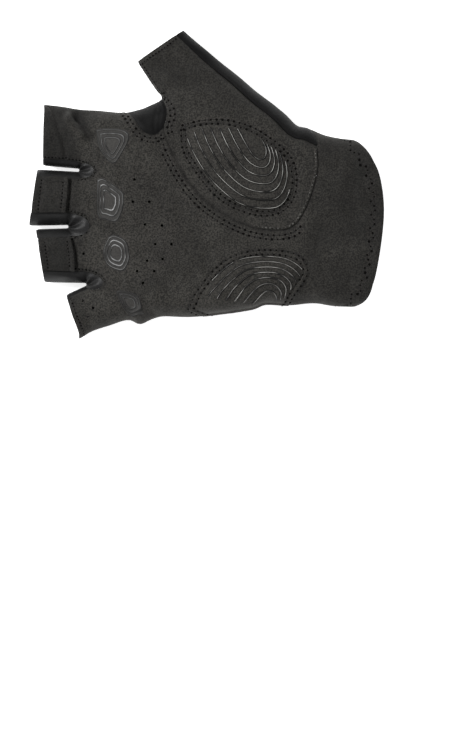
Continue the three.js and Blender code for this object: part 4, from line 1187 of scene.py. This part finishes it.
def gripMaterial():
    material, nodes, links, shader = newMaterial("grip print", {"Specular IOR Level": 0.5})
    place = nodes.new("ShaderNodeTexCoord").outputs["Object"]
    nap = noiseNode(nodes, links, place, 1500, 4)
    cloudy = noiseNode(nodes, links, place, 170, 2)
    # The rings take a painted highlight in cloudy patches; the halo beside them is painted shade
    line = rampNode(nodes, links, attributeNode(nodes, "ring"), [(0.08, (0,)), (0.95, (1,))])
    film = rampNode(nodes, links, nap, [(0.3, (0.012, 0.0112, 0.01)), (0.72, (0.032, 0.03, 0.0268))])
    halo = mathNode(nodes, links, "MULTIPLY", attributeNode(nodes, "halo"), 0.7)
    film = mixNode(nodes, links, halo, film, (0.003, 0.003, 0.003))
    gloss = rampNode(nodes, links, cloudy, [(0.38, (0.03,)), (0.62, (0.34,))])
    rough = mixNode(nodes, links, line, (0.8, 0.8, 0.8), (0.28, 0.28, 0.28))
    links.new(mixNode(nodes, links, line, film, gloss), shader.inputs["Base Color"])
    links.new(rough, shader.inputs["Roughness"])
    bumpNode(nodes, links, shader, [nap], 0.00015, 0.5)
    return material


gripPrint = gripMaterial()
gripPieces = {name: gripPatch(name, patch) for name, patch in gripPatches.items()}
print("grips and tabs shaped")


# What follows a line is made by Geometry Nodes on a mesh of that line, lifted on to the finished cloth
def treeOf(name, sockets):
    tree = bpy.data.node_groups.new(name, "GeometryNodeTree")
    tree.interface.new_socket(name="Geometry", in_out="INPUT", socket_type="NodeSocketGeometry")
    tree.interface.new_socket(name="Geometry", in_out="OUTPUT", socket_type="NodeSocketGeometry")
    for key, (kind, value) in sockets.items():
        socket = tree.interface.new_socket(name=key, in_out="INPUT", socket_type="NodeSocket" + kind)
        if value is not None:
            socket.default_value = value
    return tree, tree.nodes.new("NodeGroupInput"), tree.nodes.new("NodeGroupOutput")


def newNodes(tree, *kinds):
    return [tree.nodes.new(kind) for kind in kinds]


def linkAll(tree, *pairs):
    for one, two in pairs:
        tree.links.new(one, two)


def stitchTree():
    tree, given, out = treeOf("stitch rows", {
        "Pitch": ("Float", 0.002), "Length": ("Float", 0.0012), "Width": ("Float", 0.0005),
        "Height": ("Float", 0.0004), "Hole": ("Float", 0.0008), "Hole Height": ("Float", 0.0003),
        "Unevenness": ("Float", 0.15), "Seed": ("Int", 1), "Thread": ("Material", None),
        "Dark": ("Material", None),
    })
    toCurve, spread, ball, join = newNodes(
        tree, "GeometryNodeMeshToCurve", "GeometryNodeResampleCurve", "GeometryNodeMeshUVSphere",
        "GeometryNodeJoinGeometry")
    up, along, number, chance = newNodes(
        tree, "GeometryNodeInputNamedAttribute", "GeometryNodeInputTangent", "GeometryNodeInputIndex",
        "FunctionNodeRandomValue")
    turnX, turnZ = newNodes(tree, *["FunctionNodeAlignRotationToVector"] * 2)
    half, odd, even, less, more = newNodes(tree, *["ShaderNodeMath"] * 5)
    spread.mode, up.data_type, chance.data_type = "LENGTH", "FLOAT_VECTOR", "FLOAT"
    turnX.axis, turnZ.axis, turnZ.pivot_axis = "X", "Z", "X"
    up.inputs["Name"].default_value = "up"
    ball.inputs["Segments"].default_value, ball.inputs["Rings"].default_value = 8, 5
    ball.inputs["Radius"].default_value = 0.5
    half.operation, half.inputs[1].default_value = "MULTIPLY", 0.5
    odd.operation, odd.inputs[1].default_value = "MODULO", 2
    even.operation, even.inputs[0].default_value = "SUBTRACT", 1
    less.operation, more.operation = "SUBTRACT", "ADD"
    linkAll(
        tree, (given.outputs["Geometry"], toCurve.inputs["Mesh"]),
        (toCurve.outputs["Curve"], spread.inputs["Curve"]), (given.outputs["Pitch"], half.inputs[0]),
        (half.outputs["Value"], spread.inputs["Length"]), (along.outputs["Tangent"], turnX.inputs["Vector"]),
        (turnX.outputs["Rotation"], turnZ.inputs["Rotation"]),
        (up.outputs["Attribute"], turnZ.inputs["Vector"]),
        (number.outputs["Index"], odd.inputs[0]), (odd.outputs["Value"], even.inputs[1]),
        (given.outputs["Seed"], chance.inputs["Seed"]), (join.outputs["Geometry"], out.inputs["Geometry"]),
    )
    for node, name in ((less, "Min"), (more, "Max")):
        node.inputs[0].default_value = 1
        bound = [socket for socket in chance.inputs if socket.name == name and socket.type == "VALUE"][0]
        linkAll(tree, (given.outputs["Unevenness"], node.inputs[1]), (node.outputs["Value"], bound))
    share = [socket for socket in chance.outputs if socket.type == "VALUE"][0]
    # every second point carries a thread, the ones between them a near-black ball, painted shade for the
    # needle's hole
    marks = (
        (odd, ("Length", "Width", "Height"), "Thread"),
        (even, ("Hole", "Hole", "Hole Height"), "Dark"),
    )
    for chosen, sizes, look in marks:
        lay, size, grown = newNodes(
            tree, "GeometryNodeInstanceOnPoints", "ShaderNodeCombineXYZ", "ShaderNodeVectorMath")
        real, soft, colour = newNodes(
            tree, "GeometryNodeRealizeInstances", "GeometryNodeSetShadeSmooth", "GeometryNodeSetMaterial")
        grown.operation = "SCALE"
        for socket, name in zip(size.inputs, sizes):
            tree.links.new(given.outputs[name], socket)
        linkAll(
            tree, (size.outputs["Vector"], grown.inputs[0]), (share, grown.inputs["Scale"]),
            (spread.outputs["Curve"], lay.inputs["Points"]),
            (chosen.outputs["Value"], lay.inputs["Selection"]),
            (ball.outputs["Mesh"], lay.inputs["Instance"]),
            (turnZ.outputs["Rotation"], lay.inputs["Rotation"]),
            (grown.outputs["Vector"], lay.inputs["Scale"]),
            (lay.outputs["Instances"], real.inputs["Geometry"]),
            (real.outputs["Geometry"], soft.inputs["Geometry"]),
            (soft.outputs["Geometry"], colour.inputs["Geometry"]),
            (given.outputs[look], colour.inputs["Material"]),
            (colour.outputs["Geometry"], join.inputs["Geometry"]),
        )
    return tree


def cordTree():
    tree, given, out = treeOf("raised lines", {
        "Radius": ("Float", 0.0005), "Step": ("Float", 0.001), "Sides": ("Int", 8), "Sink": ("Float", 0.0001),
        "Material": ("Material", None),
    })
    toCurve, spread, shift, up, down = newNodes(
        tree, "GeometryNodeMeshToCurve", "GeometryNodeResampleCurve", "GeometryNodeSetPosition",
        "GeometryNodeInputNamedAttribute", "ShaderNodeVectorMath")
    ring, sweep, real, soft, look = newNodes(
        tree, "GeometryNodeCurvePrimitiveCircle", "GeometryNodeCurveToMesh", "GeometryNodeRealizeInstances",
        "GeometryNodeSetShadeSmooth", "GeometryNodeSetMaterial")
    spread.mode, down.operation, up.data_type = "LENGTH", "SCALE", "FLOAT_VECTOR"
    up.inputs["Name"].default_value = "up"
    sweep.inputs["Fill Caps"].default_value = True
    linkAll(
        tree, (given.outputs["Geometry"], toCurve.inputs["Mesh"]),
        (toCurve.outputs["Curve"], shift.inputs["Geometry"]), (up.outputs["Attribute"], down.inputs[0]),
        (given.outputs["Sink"], down.inputs["Scale"]), (down.outputs["Vector"], shift.inputs["Offset"]),
        (shift.outputs["Geometry"], spread.inputs["Curve"]), (given.outputs["Step"], spread.inputs["Length"]),
        (spread.outputs["Curve"], sweep.inputs["Curve"]), (given.outputs["Sides"], ring.inputs["Resolution"]),
        (given.outputs["Radius"], ring.inputs["Radius"]),
        (ring.outputs["Curve"], sweep.inputs["Profile Curve"]),
        (sweep.outputs["Mesh"], real.inputs["Geometry"]), (real.outputs["Geometry"], soft.inputs["Geometry"]),
        (soft.outputs["Geometry"], look.inputs["Geometry"]),
        (given.outputs["Material"], look.inputs["Material"]),
        (look.outputs["Geometry"], out.inputs["Geometry"]),
    )
    return tree


stitchRowTree, raisedLineTree = stitchTree(), cordTree()


def evaluatedMesh(piece):
    graph = bpy.context.evaluated_depsgraph_get()
    evaluated = piece.evaluated_get(graph)
    return bpy.data.meshes.new_from_object(evaluated, preserve_all_data_layers=True, depsgraph=graph)


def grownPiece(name, lines, tree, sizes):
    corners, ups, sides = [], [], []
    for spots, normals in lines:
        first = len(corners)
        corners += (spots * milli).tolist()
        ups += normals.tolist()
        sides += [(first + k, first + k + 1) for k in range(len(spots) - 1)]
    mesh = bpy.data.meshes.new(name)
    mesh.from_pydata(corners, sides, [])
    upValues = mesh.attributes.new("up", "FLOAT_VECTOR", "POINT").data
    upValues.foreach_set("vector", np.ravel(ups).astype(np.float32))
    piece = bpy.data.objects.new(name, mesh)
    bpy.context.scene.collection.objects.link(piece)
    modifier = piece.modifiers.new(name, "NODES")
    modifier.node_group = tree
    for socket in tree.interface.items_tree:
        if socket.in_out == "INPUT" and socket.name in sizes:
            modifier[socket.identifier] = sizes[socket.name]
    made = evaluatedMesh(piece)
    piece.modifiers.clear()
    piece.data = made
    made.name = name
    if made.materials and made.materials[0] is None:
        which = np.zeros(len(made.polygons), int)
        made.polygons.foreach_get("material_index", which)
        made.materials.pop(index=0)
        made.polygons.foreach_set("material_index", np.maximum(which - 1, 0))
    return piece


surfaces = {}
ray = {"from": 6.0, "to": -1.0, "reach": 0.008}  # from and to in mm off the cloth, reach in m


# Puts plan points on to the outside of finished pieces, and gives the way out of the cloth there
def layOn(carriers, spots, place):
    for carrier in carriers:
        if carrier.name not in surfaces:
            mesh = carrier.data
            surfaces[carrier.name] = BVHTree.FromPolygons(
                [v.co for v in mesh.vertices], [tuple(p.vertices) for p in mesh.polygons])
    high, low = (place(spots, np.full(len(spots), ray[end])) for end in ("from", "to"))
    found, normals = np.full((len(spots), 3), np.nan), np.zeros((len(spots), 3))
    for k, (start, stop) in enumerate(zip(high, low)):
        way = Vector(stop - start).normalized()
        nearestHit = 1.0
        for carrier in carriers:
            hit, _, _, gap = surfaces[carrier.name].ray_cast(Vector(start) * milli, way, ray["reach"])
            if hit is not None and gap < nearestHit:
                nearestHit = gap
                found[k], normals[k] = np.array(hit) / milli, -np.array(way)
    return found, normals


# Runs of a plan line that lie where the rule is positive, laid on the cloth
def runsOf(line, rule, carriers, place=onPalm, least=3.0):
    kept = rule(line) > 0
    runs, start = [], None
    for k in range(len(line) + 1):
        inside = k < len(line) and kept[k]
        if inside and start is None:
            start = k
        if not inside and start is not None:
            if np.linalg.norm(np.diff(line[start:k], axis=0), axis=1).sum() > least:
                spots, normals = layOn(carriers, line[start:k], place)
                good = ~np.isnan(spots[:, 0])
                if good.sum() > 2:
                    runs.append((spots[good], normals[good]))
            start = None
    return runs


# Stitching: rows along seams, hems, pads and tabs. The tree takes metres, the rows lie in mm.
stitches = {
    "pitch": 0.00265, "length": 0.0014, "width": 0.0005, "height": 0.0004, "hole": 0.0011,
    "holeHeight": 0.0005, "unevenness": 0.28, "hemIn": 2.0, "slitIn": 0.9, "zigzagWide": 2.8,
    "zigzagStep": 6.4, "cuffHem": 4.8, "gussetRows": (1.7, 3.5), "thumbRows": (1.8, 3.6), "spacing": 0.8,
}
fineRow = {"Pitch": 0.0016, "Length": 0.0009, "Hole": 0.0008, "Hole Height": 0.00045}
fields = {name: leastOf(panelRules[name], 3) for name in ("palm", "thumb", "wipe", "cuff", "back")}


def roomIn(field, room, side=0, limit=0.0):  # side picks x (1) or y (2): only beyond the limit there
    if side:
        return lambda spots: np.minimum(field(spots) - room, spots[:, side - 1] - limit)
    return lambda spots: field(spots) - room


def between(field, room, low, high):  # also only where x is from low to high
    return lambda spots: np.minimum.reduce([field(spots) - room, spots[:, 0] - low, high - spots[:, 0]])


def hemLine(name, by):
    end = ends[name]
    return evenly(np.array([end["from"], end["to"]]) - end["out"] * by, stitches["spacing"])


def slitLoop(slit, side, by):
    line = stretchLines[slit["name"]]
    square = np.column_stack([line["a"][:, 1] - line["b"][:, 1], line["b"][:, 0] - line["a"][:, 0]])
    square /= line["size"][:, None]
    marks = np.linspace(0, line["length"], 160)
    foot = np.column_stack([np.interp(marks, line["at"], line["a"][:, k]) for k in (0, 1)])
    inward = np.column_stack([np.interp(marks, line["at"] + line["size"] / 2, square[:, k]) for k in (0, 1)])
    inward /= np.linalg.norm(inward, axis=1)[:, None]
    wide = slitWidth(slit, side, marks) + by
    return evenly(foot + inward * wide[:, None], stitches["spacing"])


def zigzag(line):
    line = evenly(line, stitches["zigzagStep"] / 2)
    side = np.where(np.arange(len(line)) % 2 == 0, 0.5, -0.5)[:, None] * stitches["zigzagWide"]
    way = np.gradient(line, axis=0)
    way /= np.linalg.norm(way, axis=1)[:, None]
    return evenly(line + side * np.column_stack([-way[:, 1], way[:, 0]]), 0.7)


runs = {}


def sew(name, line, rule, carrier, place=onPalm):
    runs[name] = runs.get(name, []) + runsOf(line, rule, [carrier], place)


def clearOfEdge(spots):
    return insideEdge(spots) - 1.5


for by in seamRows["palm"]:
    alongSeam = between(fields["palm"], 0.8, seamRows["sewnFrom"], seamRows["sewnTo"])
    sew("palmStitches", offsetLine(thenarSeam, -by), alongSeam, palm)
for by in stitches["gussetRows"]:
    sew("palmStitches", offsetLine(gussetSeam, -by), roomIn(fields["palm"], 0.8), palm)
sew("palmHems", hemLine("little", stitches["hemIn"]), roomIn(fields["palm"], 0.9), palm)
cuffZigzag = zigzag(offsetLine(cuffEnd, stitches["cuffHem"]))
sew("palmStitches", cuffZigzag, roomIn(fields["palm"], 2.6), palm)
for slit in slits:
    sew("palmHems", slitLoop(slit, "palm", stitches["slitIn"]), roomIn(fields["palm"], 0.5), palm)
    sew("backStitches", slitLoop(slit, "back", stitches["slitIn"]), roomIn(fields["back"], 0.5), back, onBack)
sew("thumbHems", hemLine("thumb", stitches["hemIn"]), roomIn(fields["thumb"], 0.9), thumb)
thumbCrotchLine, thumbSeamStart = stretches["thumb_crotch"], planLine(thenarSeamRows[:5])
for by in stitches["thumbRows"]:
    sew("thumbHems", offsetLine(thumbCrotchLine, by), roomIn(fields["thumb"], 1.2), thumb)
    sew("thumbStitches", offsetLine(thumbSeamStart, by - 0.2), roomIn(fields["thumb"], 1.0), thumb)
    sew("wipeStitches", offsetLine(wipeSeam, by + 0.2), roomIn(fields["wipe"], 1, 2, 41), wipe, onBack)
    sew("wipeStitches", offsetLine(thumbCrotchLine, by + 2.6), roomIn(fields["wipe"], 1, 2, 45), wipe, onBack)
    sew("wipeStitches", hemLine("thumb", by + 0.4), roomIn(fields["wipe"], 1.5), wipe, onBack)
sew("backStitches", offsetLine(cuffSeam, -0.9), roomIn(fields["back"], 0.4), back, onBack)
sew("cuffStitches", cuffZigzag, roomIn(fields["cuff"], 2.6), cuff, onBack)
for pad, rim, under in ((thenarPad, thenarRim, thumb), (hypothenarPad, hypothenarRim, palm)):
    for by in pads[pad.name[:-3] + "Rows"]:
        sew("padStitches", offsetLine(rim, -by), clearOfEdge, pad if by > 0 else under)
for name, piece in tabPieces.items():
    end = ends[name]
    across = np.linspace(-1, 1, 40)
    middle, half = (end["from"] + end["to"]) / 2, (end["to"] - end["from"]) / 2
    depth = tabs["length"] + tabs["bulge"] * (1 - across**2) - tabs["edgeRow"]
    arc = middle + across[:, None] * half - depth[:, None] * end["out"]
    for row in (hemLine(name, tabs["baseRow"]), evenly(arc, stitches["spacing"])):
        sew("tabStitches", row, roomIn(leastOf(palmSlits, 3), 1.2), piece)


def stitchPiece(name, runs, slot, thread=blackThread, **changes):
    sizes = {
        "Pitch": stitches["pitch"], "Length": stitches["length"], "Width": stitches["width"],
        "Height": stitches["height"], "Hole": stitches["hole"], "Hole Height": stitches["holeHeight"],
        "Unevenness": stitches["unevenness"], "Seed": 7, "Thread": thread, "Dark": paintedNeedleHoleShade, **changes,
    }
    return finished(grownPiece(name, runs, stitchRowTree, sizes), slot)


stitchSlots = {
    "palmStitches": "suede", "thumbStitches": "suede", "padStitches": "gel_pad", "tabStitches": "suede",
    "wipeStitches": "suede", "backStitches": "knit", "cuffStitches": "stretch", "palmHems": "suede",
    "thumbHems": "suede",
}
coarse = ("palmStitches", "thumbStitches", "padStitches")
for name, slot in stitchSlots.items():
    stitchPiece(name, runs[name], slot, **({} if name in coarse else fineRow))
print("stitched")

# Silicone ribs on the pads: a dark bead with a thin light cord on top, a painted highlight. Radii, over, sink
# and step are in metres.
ribs = {"count": 7, "radius": 0.00042, "sink": 0.00004, "crest": 0.00016, "over": 0.00036, "step": 0.0009,
        "sides": 8}
# Each nest runs from its first rib to its last, in mm seen from above. Its ribs keep clear of the pad's rim
# and grow past their last points.
ribNests = {
    "thenar": {
        "pad": thenarPad, "rim": thenarRim, "clear": 1.9, "grow": 2.2,
        "first": [(15.3, 23.2), (17, 20), (19.1, 16.3), (21.6, 12.7), (24.5, 11), (26.8, 12.2), (27.3, 15.9),
                  (25.3, 20.3)],
        "last": [(-9.75, 23.7), (-5.75, 14), (2.5, 1.6), (15.4, -9), (29, -11.2), (35.7, -8.05), (38.9, 1.15),
                 (37.7, 12.2)],
    },
    "hypothenar": {
        "pad": hypothenarPad, "rim": hypothenarRim, "clear": 3.2, "grow": 0.01,
        "first": [(20.9, -53.6), (23.7, -50.6), (26.5, -48.5), (28.75, -47.9), (30.6, -48.5), (32, -50.1),
                  (32.2, -52.2)],
        "last": [(-3.3, -50.8), (6.6, -40.4), (15.4, -34.7), (28.3, -33.3), (38.4, -35.2), (45.3, -41.6),
                 (43.2, -50.3)],
    },
}


def ribLines(nest):
    first, last = np.array(nest["first"]), np.array(nest["last"])
    insideRim = region(nest["rim"])

    def onGel(spots):
        return np.minimum(insideRim(spots) - nest["clear"], clearOfEdge(spots))

    lines = []
    for k in range(ribs["count"]):
        line = lineThrough(first + k / (ribs["count"] - 1) * (last - first), 0.8)
        before = line[:1] - nest["grow"] * unit(line[1] - line[0])
        after = line[-1:] + nest["grow"] * unit(line[-1] - line[-2])
        lines += runsOf(seenFromAbove(np.vstack([before, line, after])), onGel, [nest["pad"]])
    return lines


def raisedLines(name, lines, radius, lift, look, shape):
    return grownPiece(name, lines, raisedLineTree, {
        "Radius": radius, "Step": shape["step"], "Sides": shape["sides"], "Sink": lift, "Material": look,
    })


for name, nest in ribNests.items():
    lines = ribLines(nest)
    finished(raisedLines(name + "Ribs", lines, ribs["radius"], ribs["sink"], ribSilicone, ribs), "grip_print")
    # the light cord along each rib: a painted highlight
    finished(raisedLines(name + "Crests", lines, ribs["crest"], ribs["over"], ribPaintedHighlight, ribs), "grip_print")

# A corded edge on the seam under the ball of the thumb, up to the wrist, with light stitches
welt = {"radius": 0.0007, "step": 0.001, "sides": 10, "sink": -0.0001, "out": 0.9}
weltRow = {"Pitch": 0.0018, "Length": 0.0007, "Width": 0.0004, "Height": 0.0003, "Hole": 0.0003,
           "Unevenness": 0.6}
weltLine = offsetLine(thenarSeam[(thenarSeam[:, 0] > 18) & (thenarSeam[:, 1] < 22)], welt["out"])
weltRuns = runsOf(weltLine, roomIn(fields["thumb"], 0.2), [thumb])
thumbWelt = raisedLines("thumbWelt", weltRuns, welt["radius"], welt["sink"], palmSuede, welt)
finished(thumbWelt, "suede")
weltTop = runsOf(weltLine, roomIn(fields["thumb"], 0.2), [thumbWelt])
stitchPiece("weltStitches", weltTop, "suede", greyThread, **weltRow)
print("ribs and welt laid")


# Air holes, punched through the palm
holes = {
    "radius": 0.62, "depth": 5, "sides": 14,
    "rows": [
        (-0.204, 0.021), (-0.208, -0.085), (-0.162, -0.085), (-0.174, -0.194), (-0.348, -0.333),
        (-0.126, -0.199), (-0.145, -0.288), (-0.099, -0.288), (-0.168, -0.367), (-0.124, -0.359),
        (-0.196, -0.417), (-0.148, -0.417), (-0.18, -0.474), (-0.349, -0.558), (-0.321, -0.592),
        (-0.336, -0.635),
    ],
}


def punchTree():
    tree, given, out = treeOf("air holes", {
        "Radius": ("Float", 0.0006), "Depth": ("Float", 0.006), "Sides": ("Int", 12),
        "Edge": ("Material", None),
    })
    toPoints, up, turn, tube = newNodes(
        tree, "GeometryNodeMeshToPoints", "GeometryNodeInputNamedAttribute",
        "FunctionNodeAlignRotationToVector", "GeometryNodeMeshCylinder")
    lay, real, look = newNodes(
        tree, "GeometryNodeInstanceOnPoints", "GeometryNodeRealizeInstances", "GeometryNodeSetMaterial")
    up.data_type, turn.axis = "FLOAT_VECTOR", "Z"
    up.inputs["Name"].default_value = "up"
    linkAll(
        tree, (given.outputs["Geometry"], toPoints.inputs["Mesh"]),
        (toPoints.outputs["Points"], lay.inputs["Points"]), (up.outputs["Attribute"], turn.inputs["Vector"]),
        (turn.outputs["Rotation"], lay.inputs["Rotation"]), (given.outputs["Radius"], tube.inputs["Radius"]),
        (given.outputs["Depth"], tube.inputs["Depth"]), (given.outputs["Sides"], tube.inputs["Vertices"]),
        (tube.outputs["Mesh"], lay.inputs["Instance"]), (lay.outputs["Instances"], real.inputs["Geometry"]),
        (real.outputs["Geometry"], look.inputs["Geometry"]), (given.outputs["Edge"], look.inputs["Material"]),
        (look.outputs["Geometry"], out.inputs["Geometry"]),
    )
    return tree


holeSpots, holeNormals = layOn([palm], seenFromAbove(inPlan(holes["rows"])), onPalm)
punch = grownPiece("punch", [(holeSpots, holeNormals)], punchTree(), {
    "Radius": holes["radius"] * milli, "Depth": holes["depth"] * milli, "Sides": holes["sides"],
    "Edge": palmSuede,
})
cut = palm.modifiers.new("holes", "BOOLEAN")
cut.operation, cut.solver, cut.object = "DIFFERENCE", "MANIFOLD", punch
pierced = evaluatedMesh(palm)
palm.modifiers.clear()
palm.data = pierced
bpy.data.objects.remove(punch)
print("holes punched:", len(palm.data.polygons), "faces")

for piece, slot, node in (
    (palm, "suede", "palm_panel"), (thumb, "suede", "thumb_panel"), (gusset, "stretch", "thumb_gusset"),
    (wipe, "suede", "thumb_wipe"), (side, "stretch", "thumb_side_panel"), (cuff, "stretch", "cuff_back"),
    (back, "knit", "back_panel"),
):
    finished(piece, slot, node)
for name, piece in fingerWalls.items():
    finished(piece, "stretch", name + "_fourchette")
for name, piece in (("thenar_pad", thenarPad), ("hypothenar_pad", hypothenarPad)):
    finished(piece, "gel_pad", name)
for name, piece in gripPieces.items():
    finished(piece, "grip_print", name + "_grip")
for name, piece in tabPieces.items():
    finished(piece, "suede", name + "_pull_tab")

# Floor, soft light and a long lens straight above
view = {"centre": (0.01081, -0.08671), "tall": 0.3432, "height": 3.0, "sensor": 36.0, "floor": -0.0004,
        "reach": 4}
camera = bpy.data.cameras.new("camera")
camera.sensor_width = view["sensor"]
camera.lens = view["sensor"] * (view["height"] - glove["seamHeight"] * milli) / view["tall"]
camera.clip_end = 20
bpy.context.scene.view_settings.view_transform = "Standard"
cameraObject = bpy.data.objects.new("camera", camera)
cameraObject.location = (*view["centre"], view["height"])
bpy.context.scene.collection.objects.link(cameraObject)
bpy.context.scene.camera = cameraObject

floorMesh = bpy.data.meshes.new("floor")
ways = [(-1, -1), (1, -1), (1, 1), (-1, 1)]
corners = [(view["reach"] * x, view["reach"] * y, view["floor"]) for x, y in ways]
floorMesh.from_pydata(corners, [], [(0, 1, 2, 3)])
floorMaterial = newMaterial("floor", {
    "Base Color": (0.9, 0.9, 0.9, 1), "Roughness": 0.9, "Emission Color": (1, 1, 1, 1),
    "Emission Strength": 0.75,
})[0]
floorMesh.materials.append(floorMaterial)
floor = bpy.data.objects.new("floor", floorMesh)
bpy.context.scene.collection.objects.link(floor)

world = bpy.data.worlds.new("studio")
world.use_nodes = True
world.node_tree.nodes["Background"].inputs["Color"].default_value = (1, 1, 1, 1)
world.node_tree.nodes["Background"].inputs["Strength"].default_value = 0.38
bpy.context.scene.world = world
lights = {
    "key": {"at": (-1.0, 0.45, 1.1), "size": 0.5, "power": 27},
    "fill": {"at": (0.55, -0.75, 1.5), "size": 1.2, "power": 5},
    "rim": {"at": (0.9, 0.8, 1.0), "size": 0.8, "power": 3},
}
for name, row in lights.items():
    lamp = bpy.data.lights.new(name, "AREA")
    lamp.size, lamp.energy = row["size"], row["power"]
    lampObject = bpy.data.objects.new(name, lamp)
    lampObject.location = row["at"]
    lampObject.rotation_euler = (-Vector(row["at"])).to_track_quat("-Z", "Y").to_euler()
    bpy.context.scene.collection.objects.link(lampObject)
print("stage ready")
